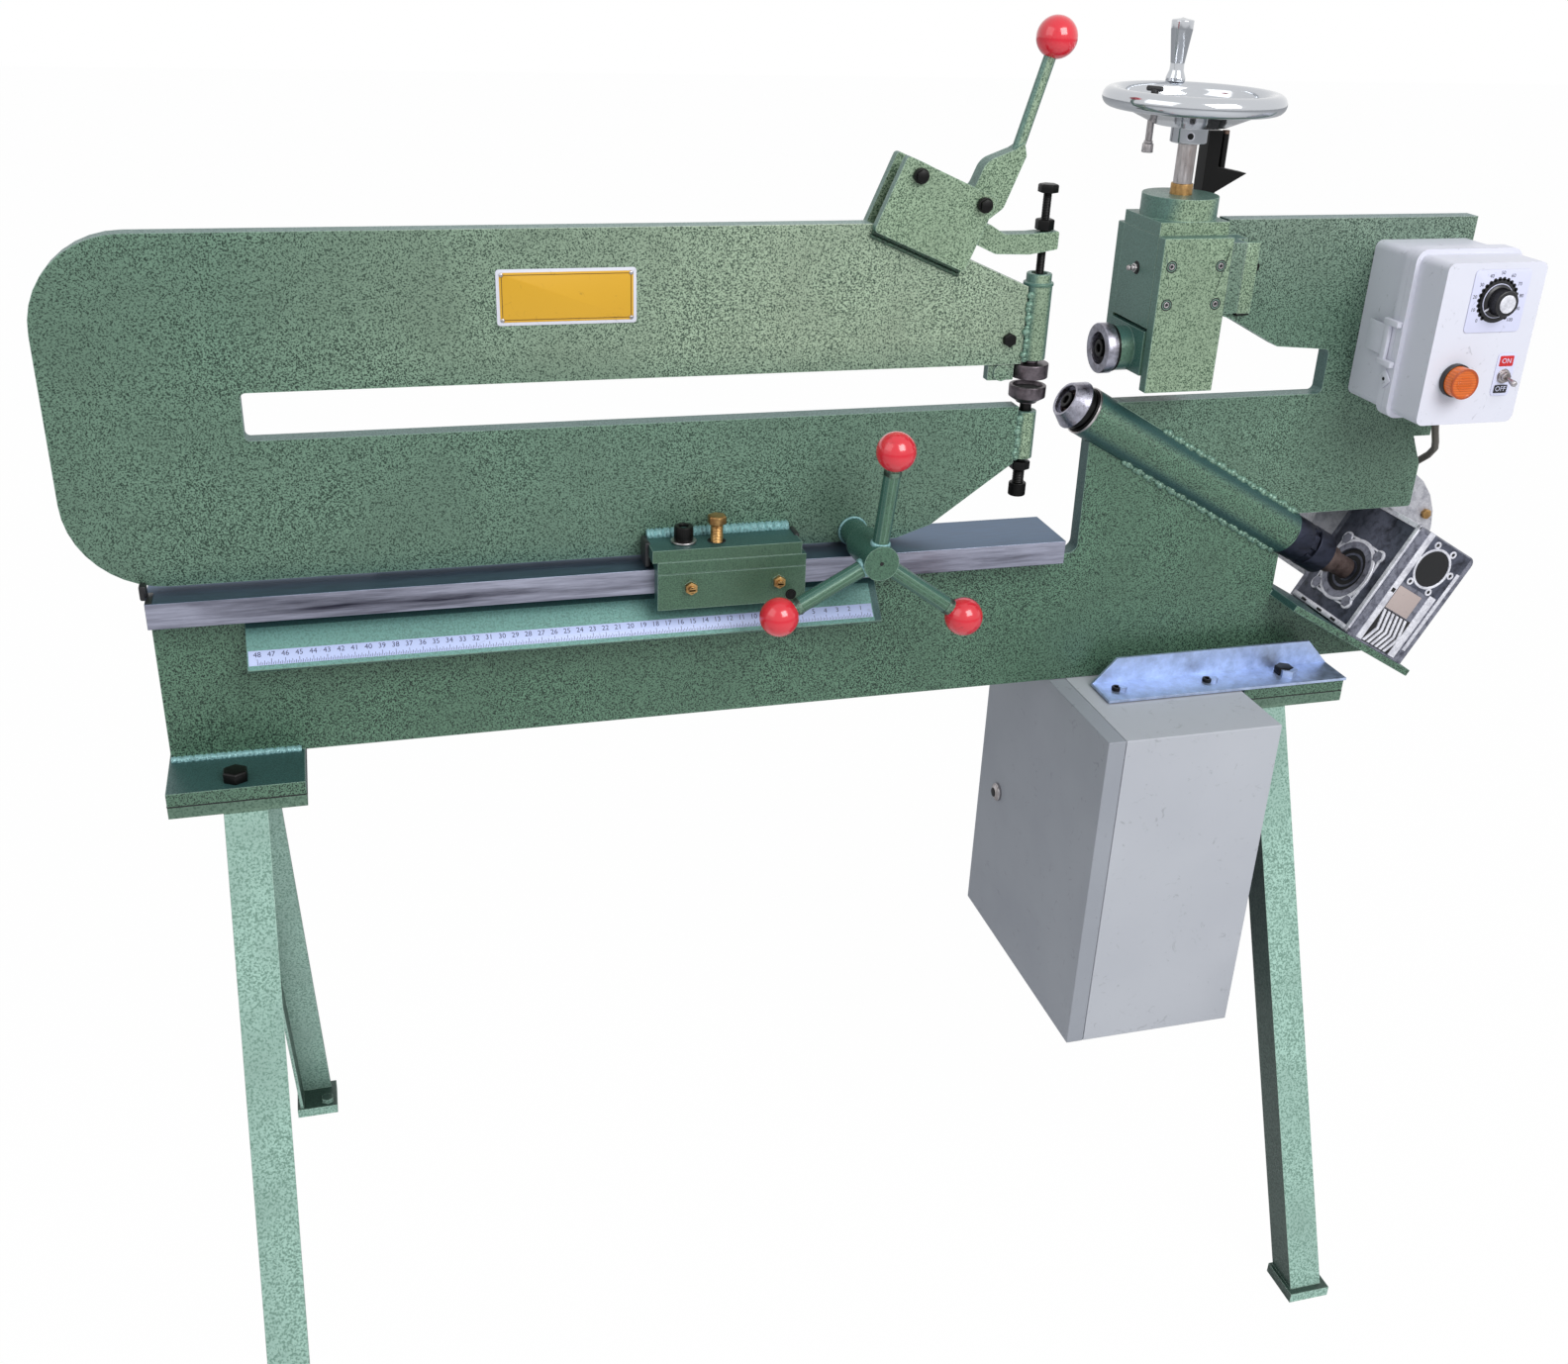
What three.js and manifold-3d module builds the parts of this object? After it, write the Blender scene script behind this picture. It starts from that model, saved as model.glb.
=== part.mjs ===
// A power circle shear: a C-shaped frame clamps a sheet at its centre and slides along a rail,
// while two rotary cutters on the fixed base trim the sheet to a circle.
// Units are millimetres. X runs along the plates, +Y points away from the operator, +Z is up.
import * as THREE from 'three';
import { mergeVertices } from 'three/addons/utils/BufferGeometryUtils.js';
import Module from 'manifold-3d';

const wasm = await Module();
wasm.setup();

// Clearances shared by every sub-assembly
const seat = 0.3; // between two pieces that rest on or against each other
const running = 0.4; // between a shaft and its hole, or a slide and its way
const overrun = 2; // how far a cut runs past the face it leaves through
const weld = 1; // how far welded pieces of one weldment run into each other

// Profile-cut plate that every large flat piece is made of
const plateThickness = 19.05;
const halfPlate = plateThickness / 2;

// Base plate: a long beam with a notch, seen from the front, measured from its lower left corner
const baseBottom = 698.2;
const beamHeight = 152.6;
const notchX = 943.4;
const notchFillet = 10;
const armRootX = 942;
const armTopHeight = 318;
const armCorner = 8;
const slopeStartX = 1195.9;
const cornerFlat = 4;

// Head plate: the upper arm and throat that carry the cutter head and the control box
const headPlateRight = 1362;
const headPlateRise = 185.3;
const headPlateTop = armTopHeight + headPlateRise;
const throatRightX = 1211.5;
const throatRise = 48.1;
const throatTopHeight = armTopHeight + throatRise;
const throatShoulderX = 1147;
const throatShoulderRise = 53.4;
const throatShoulderHeight = armTopHeight + throatShoulderRise;
const throatSlopeX = 1086.3;
const throatSlopeRise = 84.5;
const throatSlopeHeight = armTopHeight + throatSlopeRise;
const undersideRise = 90;
const headPlateUnderside = armTopHeight + undersideRise;
const throatCorner = 6;
const boxShoulderDrop = 54;
const boxShoulderHeight = armTopHeight - boxShoulderDrop;
const lobeNeckX = 1341;
const lobeTopDrop = 87;
const lobeTopHeight = armTopHeight - lobeTopDrop;
const lobeRightX = 1355.8;
const lobeDrop = 137.4;
const lobeHeight = armTopHeight - lobeDrop;
const lobeLeftX = 1208;

// Mounting flanges under the beam, with the stands bolted below them
const flangeLength = 127;
const flangeDepth = 154;
const flangeThickness = 12.7;
const leftFlangeX = -2;
const rightFlangeX = 1138;

// Legs of 40 mm angle, splayed front and back, on square pads
const angleLeg = 40;
const angleWall = 4;
const leftLegX = 47.5;
const rightLegX = 1153;
const padSize = 50.8;
const padThickness = 12.7;
const footSpread = 322;
const leftFrontLean = -14;
const leftRearLean = 12;
const rightFrontLean = 34;
const rightRearLean = 20;
const padBoltRadius = 8;
const padBoltHead = 6;
const padInset = 8;

// Rail that the carriage slides on, and the sloping ledge that carries the scale
const railLength = 915;
const railWidth = 76.2;
const railHeight = 25.4;
const ledgeStart = 83;
const ledgeEnd = 710.2;
const ledgeWidth = 58;
const ledgeThickness = 4;
const ledgeDrop = 2.6;
const rackStart = 208;
const rackEnd = 722;
const rackHeight = 6;
const rackDepth = 10;
const rackSetback = 14;
const rackFloorShare = 0.25; // of the gap between two teeth, half its floor
const rackMouthShare = 0.75;

// C-shaped plate: two long arms joined at the left by a round-cornered back
const cLeft = -62.7;
const cBottomGap = 5;
const cHeight = 320.5;
const cCorner = 84;
const slotLeft = 102;
const slotBottom = 135.4;
const slotHeight = 44.3;
const slotCorner = 5;
const topEdgeEnd = 686.4;
const topSlopeMidX = 795.6;
const topSlopeMidDrop = 37.8;
const topSlopeMidHeight = cHeight - topSlopeMidDrop;
const topSlopeEndDrop = 63.1;
const topSlopeEndHeight = cHeight - topSlopeEndDrop;
const lowerSlopeStart = 734.4;
const lowerSlopeMidX = 771.5;
const lowerSlopeMidHeight = 12.6;
const lowerSlopeEndHeight = 74.9;
const stopBlockLength = 28;
const stopBlockHeight = 17;
const stopBlockInset = 8;
const stopBossRadius = 9;
const stopBossLength = 3;

// Clamp quill: two spindles on one vertical axis at the open end of the C
const quillX = 869.5;
const upperTubeRadius = 14.3;
const upperTubeShortfall = 0.7;
const upperTubeLength = topSlopeEndHeight - slotBottom - slotHeight - upperTubeShortfall;
const upperTubeRise = 3.3;
const collarRadius = 12.7;
const collarHeight = 9;
const collarBore = 7.2;
const spindleRadius = 8;
const upperDiscRadius = 19.05;
const upperDiscThickness = 14.4;
const discCupRadius = 13;
const discCupDepth = 2.5;
const upperDiscGap = 1;
const discBore = 5;
const spindleTipLength = 11;
const lowerDiscRadius = 19.05;
const lowerDiscFoot = 14.5;
const lowerDiscHeight = 18.2;
const clampOpening = 8.6;
const lowerTubeRadius = 11.6;
const lowerTubeLength = 50.4;
const lowerNeckRadius = 5.15;
const lowerNeckLength = 8.5;
const jackSpindleRadius = 6.5;
const jackScrewRadius = 5.65;
const jackScrewLength = 15;
const jackNutRadius = 11.1;
const jackNutHeight = 9;
const jackHeadRadius = 9.1;
const jackHeadHeight = 14;
const jackTravel = 3.5;

// Clamp linkage between two cheeks that stand on the sloping end of the upper arm
const cheekThickness = 9.5;
const cheekLength = 102.5;
const cheekWidth = 74.7;
const cheekTilt = 23;
const cheekLap = 9;
const cheekX = 686.6;
const cheekCorner = 4;
const linkThickness = 18;
const pivotRadius = 4.8;
const pivotHeadRadius = 7;
const pivotHeadHeight = 6;
const armPivotAlong = 19;
const armPivotUp = 63;
const camPivotAlong = 91;
const camPivotUp = 64;
const armEyeRadius = 12;
const armEndLength = 12.5;
const armDepth = 17.5;
const armRise = 41.5;
const armSagX = 53.2;
const armSagDrop = 3.6;
const armWaistX = 17;
const armWaistDrop = 4.6;
const armNeckX = 45.2;
const armNeckDrop = 2.2;
const armNoseX = 61;
const armNoseRise = 7.3;
const camRadius = 18.4;
const camLobe = 25.5;
const camLobeAngle = -12;
const camHeelShare = 0.92;
const leverShoulder = 29;
const leverNeckX = 38;
const leverNeckZ = 49;
const leverTipX = 63.6;
const leverTipZ = 138;
const leverRodRadius = 6;
const ballRadius = 19.5;
const ballSink = 9;
const adjusterRadius = 4.3;
const adjusterRise = 26;
const adjusterHeadRadius = 10.3;
const adjusterHeadHeight = 7;
const adjusterNutRadius = 9.6;
const adjusterNutHeight = 9.5;
const adjusterReach = 3.5;

// Carriage that guides the C-shaped plate along the rail
const carriageX = 467.5;
const carriageLength = 151;
const carriageStep = 5;
const shelfDepth = 44.5;
const shelfThickness = 12.5;
const saddleThickness = 12.5;
const keeperThickness = 16;
const keeperHeight = 37.5;
const keeperScrewRadius = 3.6;
const keeperScrewLength = 9;
const keeperScrewNut = 6.4;
const keeperScrewNutHeight = 4;
const keeperScrewDrop = 14.5;
const keeperScrewInset = 33;
const capScrewRadius = 7.8;
const capScrewHeight = 14;
const capScrewInset = 35;
const capScrewBack = 24;
const lockBoltInset = 68;
const lockBoltBack = 18;
const lockBoltRadius = 4.6;
const lockBoltHole = 7.5;
const lockBoltHeadRadius = 8.6;
const lockBoltHeadHeight = 6;
const lockBoltRise = 20;
const rearGuideThickness = 12.7;

// Capstan: a hub with three spokes whose shaft turns a pinion on the rack behind the plate
const capstanX = 685.5;
const capstanHeight = 12;
const capstanReach = 105;
const capstanHubRadius = 18;
const capstanHubLength = 58;
const capstanBossRadius = 14;
const capstanShaftRadius = 9;
const spokeRadius = 8.5;
const spokeLength = 113.7;
const spokeInset = 4;
const spokeAngles = [86, 206, 325];
const spokeRake = 5;
const toothCount = 11;
const toothModule = 2;
const toothDepth = 3.4;
const pinionWidth = 14;
const shaftPlay = 0.5;
const pinionTipShare = 0.28;
const pinionRootShare = 0.42;

// Cutter head: a square box with a vertical slide inside
const headX = 1013.7;
const headWidth = 76.2;
const headRise = 21.2;
const headBottom = armTopHeight + headRise;
const headHeight = 153.8;
const headPlateGauge = 12.7;
const slideWayDepth = 50.8;
const slideWallThickness = 12.7;
const windowHeight = 62.8;
const headCapHeight = 13;
const headBossRadius = 38.1;
const headBossHeight = 21;
const headScrewRadius = 4.4;
const headScrewHeadDepth = 1;
const greaserRadius = 4.2;
const greaserHeight = 116;
const bracketLength = 14.5;
const bracketStep = 12.5;
const bracketTop = 149;
const bracketBottom = 79.3;
const bracketStepBottom = 84;
const bracketStepDepth = 30;
const screwRowShares = [0.58, 0.824];
const screwColumnShare = 0.355;
const bushRadius = 11;
const bushRise = 10.5;
const screwRadius = 9.5;
const screwRise = 49;
const screwCollarRadius = 14;
const screwCollarHeight = 6;
const hubRadius = 18;
const hubHeight = 15;
const wheelRadius = 88.9;
const wheelRimRadius = 8.5;
const wheelDish = 25;
const wheelWebRadius = 34;
const wheelWebThickness = 7;
const rimSteps = 9;
const rimStartShare = 0.7;
const rimSweepShare = 0.82;
const handleAngle = 76;
const handleFootRadius = 7.5;
const handleTopRadius = 9.2;
const handleLength = 60;
const handleRound = 2;
const handleStudRadius = 3;
const plungerRadius = 3;
const plungerOffset = 39;
const plungerAngle = 140;
const plungerDrop = 28;
const plungerRise = 27;
const plungerKnobRadius = 6.2;
const plungerKnobLength = 14;
const plungerBarLength = 16;
const plungerBarRadius = 2.5;
const stopPlateThickness = 15;
const stopPlateHeight = 95;
const stopPlateDepth = 18;
const stopPlateSetback = 3;
const stopPostGap = 2;
const stopArmRise = 34;
const stopArmLength = 34;
const stopArmHeight = 26;
const stopRodRadius = 4;
const stopRodOffset = 8;

// Slide block and the upper cutter on it
const slideTravelUp = 2.5;
const slideTravelDown = 14;
const slideBlockHeight = 45;
const slideStemHeight = 48;
const slideFaceProud = 2;
const upperCutterRise = 56;
const upperCutterHeight = armTopHeight + upperCutterRise;
const upperCutterReach = 70.4;
const cutterRadius = 25.6;
const cutterThickness = 11;
const cutterRecessRadius = 15;
const cutterRecessDepth = 6;
const cutterBevel = 1.2;
const upperShaftRadius = 10;
const upperCollarRadius = 22.5;
const upperRingRadius = 24;
const upperRingLength = 4;
const cutterBoltRadius = 9;
const cutterBoltHeight = 5;
const tailBoltRadius = 10;
const tailBoltLength = 17.5;
const tailWasherRadius = 12;
const tailWasherLength = 3;

// Slanting lower drive line: tube, shaft, coupling, worm gearbox and motor
const driveX = 1182;
const driveDrop = 149.6;
const driveHeight = armTopHeight - driveDrop;
const driveSlope = 29.73;
const tubeRadius = 25.9;
const tubeLow = -268;
const tubeHigh = 25;
const tubeBore = 19;
const tubeBearingLength = 30;
const shaftRadius = 12.5;
const lowerCutterFace = -309.3;
const lowerCutterBack = -294.3;
const lowerCutterFaceRadius = 18.6;
const lowerCutterRadius = 26.4;
const lowerRecessRadius = 15.5;
const lowerRingRadius = 22;
const couplingLow = 25.6;
const couplingHigh = 85;
const couplingRadius = 24.6;
const couplingJawWidth = 8;
const couplingSleeveRadius = 19;
const outputFace = 135;
const gearboxWidth = 92;
const gearboxDepth = 120;
const gearboxFoot = 59.5;
const gearboxTop = 84;
const gearboxWall = 9;
const gearboxFootRelief = 22;
const gearboxFootGap = 7;
const outputRingRadius = 35;
const outputRingWall = 4;
const outputRingProud = 4;
const outputLugCircle = 42.5;
const outputLugRadius = 7;
const outputBoreRadius = 27;
const wormOffset = 50;
const wormBore = 18;
const wormCapRadius = 22;
const wormCapRecess = 3;
const wormRootRadius = 9.4;
const wormTipRadius = 14.6;
const wormShaftRadius = 8;
const wormThreadLength = 32;
const wormThreadWidth = 2.6;
const wormSteps = 9;
const wormPhaseShare = 0.25;
const motorShaftDepth = 40;
const gearModule = 2.5;
const gearTeeth = 30;
const gearFace = 14;
const gearToothShare = 0.24;
const gearRootShare = 0.5;
const gearTipRadius = 39.4;
const gearRootRadius = 34.2;
const gearHubRadius = 19;
const mountPlateThickness = 8;
const mountPlateStart = 52;
const mountPlateEnd = 246;
const motorFlangeRadius = 85;
const motorFlangeThickness = 13;
const motorRadius = 80;
const motorLength = 168;
const motorEndRadius = 70;
const motorEndLength = 26;
const motorBoxLength = 90;
const motorBoxWidth = 60;
const motorBoxHeight = 42;
const motorBoxSetback = 52;

// Control box on the head plate: a moulded case with a hinged lid
const controlLeft = 1243.5;
const controlWidth = 115.5;
const controlDrop = 1.2;
const controlBottom = armTopHeight - controlDrop;
const controlHeight = 164;
const controlCaseDepth = 68;
const controlLidDepth = 53.5;
const controlWall = 3;
const controlLip = 5;
const controlLipDepth = 9;
const controlCorner = 8;
const latchWidth = 6;
const latchDepth = 36;
const latchHeight = 38;
const latchDrop = 71;
const knobX = 63.5;
const knobHeight = 126.5;
const knobSkirtRadius = 17.5;
const knobRadius = 13.5;
const knobCapRadius = 8;
const knobSkirtLength = 4;
const knobLength = 16;
const lampX = 34.5;
const lampHeight = 47;
const lampRadius = 14.5;
const lampLength = 19;
const lampCrownShare = 0.7;
const toggleX = 92;
const toggleHeight = 49;
const toggleRadius = 2.6;
const toggleLength = 17;
const toggleTilt = 14;
const toggleBallRadius = 3.4;

// Electrical enclosure hung under the beam by an angle bracket
const enclosureLeft = 949.9;
const enclosureWidth = 183.6;
const enclosureFront = -162.6;
const enclosureDepth = 309.6;
const enclosureHeight = 391;
const enclosureWall = 2;
const doorThickness = 20.6;
const doorFold = 2;
const lockRadius = 11;
const lockLength = 6;
const lockBack = 252.6;
const lockDrop = 200.7;
const hangerLeft = 969;
const hangerRight = 1265.5;
const hangerFront = -80;
const hangerDepth = 46;
const hangerHeight = 32;
const hangerGauge = 3;
const hangerEndCut = 27;
const hangerScrewRadius = 5;
const hangerScrewInset = 26;
const hangerBoltRadius = 11;
const hangerBoltHeight = 8;
const leadRadius = 4;
const leadSides = 4; // steps round half the lead
const leadSteps = 30;
const leadExitX = 94.5;
const leadExitDepth = 42;
const leadEntryDepth = 32;
const leadEntryDrop = 110.2;
const leadRun = [ // the lead's turns below the box, in lead radii from where it leaves
  [0, 0, 0],
  [0, 0, -6.05],
  [3, 2, -11.675],
  [7.75, 7.5, -17.425],
  [8.25, 13.5, -22.425],
  [3.5, 18.5, -28.175],
  [-5.5, 22.5, -30.675],
  [-15.5, 27, -36.675],
];
const leadPast = [ // its turns past the flange, in lead radii from its end and the flange's rear edge
  [31.05, 0.25, 58],
  [29.55, 1.75, 43],
  [28.05, 2.25, 28],
  [25.05, 0.75, 16.75],
];
const leadHome = [ // and on its way into the enclosure, in lead radii from where it ends
  [19.05, 5, 6],
  [11.05, 1, 1],
  [3.5, 0, 0],
  [0, 0, 0],
];

// Facets
const roundSides = 24;
const smallSides = 12;
const mediumSides = 18;
const hexSides = 6;
const arcSteps = 5;
const ballSteps = 9;

const degree = Math.PI / 180;

const finishes = {
  hammertone: { color: 0x587660, roughness: 0.45, metalness: 0.35 },
  hammertonePale: { color: 0x83a798, roughness: 0.5, metalness: 0.3 },
  bareSteel: { color: 0x9c98a0, roughness: 0.4, metalness: 0.9 },
  blackOxide: { color: 0x1d1d20, roughness: 0.5, metalness: 0.6 },
  toolSteel: { color: 0x5c565a, roughness: 0.35, metalness: 0.9 },
  polishedAluminium: { color: 0xc2c6cc, roughness: 0.18, metalness: 1 },
  castAluminium: { color: 0x9a9ea6, roughness: 0.45, metalness: 0.9 },
  brass: { color: 0xb8925a, roughness: 0.35, metalness: 0.9 },
  bronze: { color: 0xa0713f, roughness: 0.45, metalness: 0.9 },
  redPlastic: { color: 0xd2222e, roughness: 0.25, metalness: 0 },
  whitePlastic: { color: 0xe2e4e8, roughness: 0.45, metalness: 0 },
  blackPlastic: { color: 0x1a1a1c, roughness: 0.4, metalness: 0 },
  amberPlastic: { color: 0xe08228, roughness: 0.3, metalness: 0 },
  greyPaint: { color: 0xb5b9be, roughness: 0.5, metalness: 0.1 },
  zinc: { color: 0xbcc6d6, roughness: 0.35, metalness: 0.9 },
};

// Turns one closed geometry into a solid, with its faces pointing out
function solidOf(geometry) {
  const bare = geometry.clone();
  bare.deleteAttribute('normal');
  bare.deleteAttribute('uv');
  const merged = mergeVertices(bare);
  const places = merged.attributes.position.array;
  const corners = merged.index.array;
  const kept = [];
  let volume = 0;
  const a = new THREE.Vector3();
  const b = new THREE.Vector3();
  const c = new THREE.Vector3();
  for (let i = 0; i < corners.length; i += 3) {
    const [p, q, r] = [corners[i], corners[i + 1], corners[i + 2]];
    if (p === q || q === r || r === p) continue;
    kept.push(p, q, r);
    a.fromArray(places, 3 * p);
    b.fromArray(places, 3 * q);
    c.fromArray(places, 3 * r);
    volume += a.dot(b.cross(c));
  }
  if (volume < 0) kept.reverse();
  return new wasm.Manifold(new wasm.Mesh({
    numProp: 3,
    vertProperties: Float32Array.from(places),
    triVerts: Uint32Array.from(kept),
  }));
}

function geometryOf(solid) {
  const mesh = solid.getMesh();
  const geometry = new THREE.BufferGeometry();
  geometry.setAttribute('position', new THREE.BufferAttribute(mesh.vertProperties, 3));
  geometry.setIndex(new THREE.BufferAttribute(mesh.triVerts, 1));
  geometry.computeVertexNormals();
  return geometry;
}

function join(...pieces) {
  return geometryOf(pieces.map(solidOf).reduce((whole, piece) => whole.add(piece)));
}

function cut(body, ...tools) {
  return geometryOf(tools.map(solidOf).reduce((rest, tool) => rest.subtract(tool), solidOf(body)));
}

// A box between two corners
function block(x0, x1, y0, y1, z0, z1) {
  const geometry = new THREE.BoxGeometry(x1 - x0, y1 - y0, z1 - z0);
  return geometry.translate((x0 + x1) / 2, (y0 + y1) / 2, (z0 + z1) / 2);
}

// A solid of revolution about Z, from pairs of radius and height that start and end on the axis
function spun(profile, sides = roundSides) {
  const points = profile.map(([radius, height]) => new THREE.Vector2(radius, height));
  return new THREE.LatheGeometry(points, sides).rotateX(Math.PI / 2);
}

// A plain rod about Z
function rod(radius, low, high, sides = roundSides) {
  return spun([[0, low], [radius, low], [radius, high], [0, high]], sides);
}

// A hole about Z whose flats, not corners, lie on the stated radius
function bore(radius, low, high, sides = smallSides) {
  return rod(radius / Math.cos(Math.PI / sides), low, high, sides);
}

// A hexagon about Z, sized by its corners
function hexagon(radius, low, high) {
  return rod(radius, low, high, hexSides);
}

// Turns a shape made along Z to lie along X or Y
function alongX(geometry) {
  return geometry.rotateY(Math.PI / 2);
}

function alongY(geometry) {
  return geometry.rotateX(-Math.PI / 2);
}

// A flat outline whose corners may carry a radius as a third number
function outline(corners) {
  const shape = new THREE.Shape();
  const count = corners.length;
  corners.forEach(([x, y, radius = 0], i) => {
    const here = new THREE.Vector2(x, y);
    if (radius === 0) {
      if (i === 0) shape.moveTo(x, y);
      else shape.lineTo(x, y);
      return;
    }
    const before = corners[(i + count - 1) % count];
    const after = corners[(i + 1) % count];
    const back = new THREE.Vector2(before[0], before[1]).sub(here).normalize();
    const ahead = new THREE.Vector2(after[0], after[1]).sub(here).normalize();
    const half = Math.acos(back.dot(ahead)) / 2;
    const reach = radius / Math.tan(half);
    const start = here.clone().addScaledVector(back, reach);
    const end = here.clone().addScaledVector(ahead, reach);
    const middle = back.clone().add(ahead).normalize().multiplyScalar(radius / Math.sin(half)).add(here);
    const from = Math.atan2(start.y - middle.y, start.x - middle.x);
    const to = Math.atan2(end.y - middle.y, end.x - middle.x);
    shape.absarc(middle.x, middle.y, radius, from, to, back.cross(ahead) > 0);
  });
  return shape;
}

function extruded(shape, depth) {
  return new THREE.ExtrudeGeometry(shape, { depth, bevelEnabled: false, curveSegments: arcSteps });
}

// A plate whose outline is seen from the front, with X across and Z up
function uprightPlate(corners, front, thickness) {
  return extruded(outline(corners), thickness).rotateX(Math.PI / 2).translate(0, front + thickness, 0);
}

// A plate whose outline is seen from above
function levelPlate(corners, low, thickness) {
  return extruded(outline(corners), thickness).translate(0, 0, low);
}

// A plate whose outline is seen from the right, with Y across and Z up
function sidePlate(corners, left, thickness) {
  const turn = new THREE.Matrix4().makeBasis(
    new THREE.Vector3(0, 1, 0),
    new THREE.Vector3(0, 0, 1),
    new THREE.Vector3(1, 0, 0),
  );
  return extruded(outline(corners), thickness).applyMatrix4(turn).translate(left, 0, 0);
}

function rectangle(x0, x1, y0, y1, radius = 0) {
  return [[x0, y0, radius], [x1, y0, radius], [x1, y1, radius], [x0, y1, radius]];
}

const machine = new THREE.Group();

// Adds one named piece to the machine, or to a turned group inside it
function place(name, finish, geometry, group = machine) {
  const mesh = new THREE.Mesh(geometryOf(solidOf(geometry)), new THREE.MeshStandardMaterial(finish));
  mesh.name = name;
  group.add(mesh);
  return mesh;
}

// Heights that several sub-assemblies share
const beamTop = baseBottom + beamHeight;
const railTop = beamTop + seat + railHeight;
const cBottom = railTop + cBottomGap;
const slotFloor = cBottom + slotBottom;
const slotCeiling = slotFloor + slotHeight;
const cTop = cBottom + cHeight;
const flangeTop = baseBottom + weld;
const headPlateEnd = headX + headWidth / 2 + bracketLength + 2 * seat;

// The drive line slopes down to the right; its group has X along the shaft and Z square to it
const driveLine = new THREE.Group();
driveLine.position.set(driveX, 0, baseBottom + driveHeight);
driveLine.rotation.y = driveSlope * degree;
driveLine.updateMatrix();
machine.add(driveLine);

function onDriveLine(geometry) {
  return geometry.applyMatrix4(driveLine.matrix);
}

function fromDriveLine(along, across) {
  const point = new THREE.Vector3(along, 0, across).applyMatrix4(driveLine.matrix);
  return [point.x, point.z];
}

function tubeSlot() {
  return onDriveLine(alongX(rod(tubeRadius + seat, tubeLow - angleLeg, tubeHigh + angleLeg)));
}

// Outline of the beam with its notch and the edge that slopes along the gearbox plate
function baseOutline() {
  const slopeOffset = -gearboxFoot - mountPlateThickness - seat + weld;
  const [x0, z0] = fromDriveLine(0, slopeOffset);
  const steep = Math.tan(driveSlope * degree);
  const slopeTop = z0 - (slopeStartX - x0) * steep;
  const slopeBottomX = x0 + (z0 - baseBottom) / steep;
  const [tubeEndX, tubeEndZ] = fromDriveLine(tubeHigh, 0);
  return [
    [0, baseBottom],
    [slopeBottomX, baseBottom],
    [slopeStartX, slopeTop, cornerFlat],
    [slopeStartX, tubeEndZ - tubeRadius],
    [tubeEndX, tubeEndZ],
    [armRootX, baseBottom + armTopHeight, armCorner],
    [notchX, beamTop, notchFillet],
    [0, beamTop],
  ];
}

function flange(left) {
  return block(left, left + flangeLength, -flangeDepth / 2, flangeDepth / 2,
    baseBottom - flangeThickness, flangeTop);
}

// The strip that carries the scale slopes at 45 degrees away from the beam's front face
function scaleLedge() {
  const top = beamTop - ledgeDrop;
  const run = ledgeWidth / Math.SQRT2;
  const thick = ledgeThickness * Math.SQRT2;
  const root = -halfPlate + weld;
  return sidePlate([
    [root, top + weld],
    [root, top + weld - thick],
    [-halfPlate - run + ledgeThickness / Math.SQRT2, top - run - ledgeThickness / Math.SQRT2],
    [-halfPlate - run, top - run],
  ], ledgeStart, ledgeEnd - ledgeStart);
}

// The gearbox stands on a plate that is welded along the beam's sloping edge
function gearboxPlate() {
  const top = -gearboxFoot - seat;
  const plate = block(mountPlateStart, mountPlateEnd, -gearboxDepth / 2, gearboxDepth / 2,
    top - mountPlateThickness, top);
  return onDriveLine(plate);
}

function buildBase() {
  const beam = cut(uprightPlate(baseOutline(), -halfPlate, plateThickness), tubeSlot());
  const flanges = [flange(leftFlangeX), flange(rightFlangeX)];
  place('base_plate', finishes.hammertone, join(beam, ...flanges, scaleLedge(), gearboxPlate()));
}

// Head plate: the arm over the throat, the throat's right side and the lobe beside the gearbox
function headOutline() {
  const up = (height) => baseBottom + height;
  const [tubeX, tubeZ] = fromDriveLine(tubeHigh, 0);
  const [rootX, rootZ] = [armRootX, up(armTopHeight)];
  return [
    [rootX, rootZ, armCorner],
    [tubeX, tubeZ],
    [lobeLeftX, up(lobeHeight)],
    [lobeRightX, up(lobeHeight), cornerFlat],
    [lobeRightX, up(lobeTopHeight), cornerFlat],
    [lobeNeckX, up(boxShoulderHeight)],
    [headPlateRight, up(boxShoulderHeight)],
    [headPlateRight, up(headPlateTop)],
    [headPlateEnd, up(headPlateTop)],
    [headPlateEnd, up(headPlateUnderside)],
    [throatSlopeX, up(throatSlopeHeight)],
    [throatShoulderX, up(throatShoulderHeight)],
    [throatRightX, up(throatTopHeight), throatCorner],
    [throatRightX, rootZ, throatCorner],
  ];
}

// The bracket is a stepped block that clasps the end of the arm and bolts to the head
function headBracket() {
  const left = headX + headWidth / 2 + seat;
  const depth = slideWayDepth - seat;
  const body = block(left, left + bracketLength, -depth, depth,
    baseBottom + headBottom + bracketBottom, baseBottom + headBottom + bracketTop);
  const step = block(left + bracketLength - weld, left + bracketLength + bracketStep,
    -bracketStepDepth, bracketStepDepth,
    baseBottom + headBottom + bracketStepBottom, baseBottom + headBottom + bracketTop);
  return join(body, step);
}

function buildHeadPlate() {
  const plate = cut(uprightPlate(headOutline(), -halfPlate, plateThickness), tubeSlot());
  place('head_plate', finishes.hammertone, join(plate, headBracket()));
}

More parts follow.
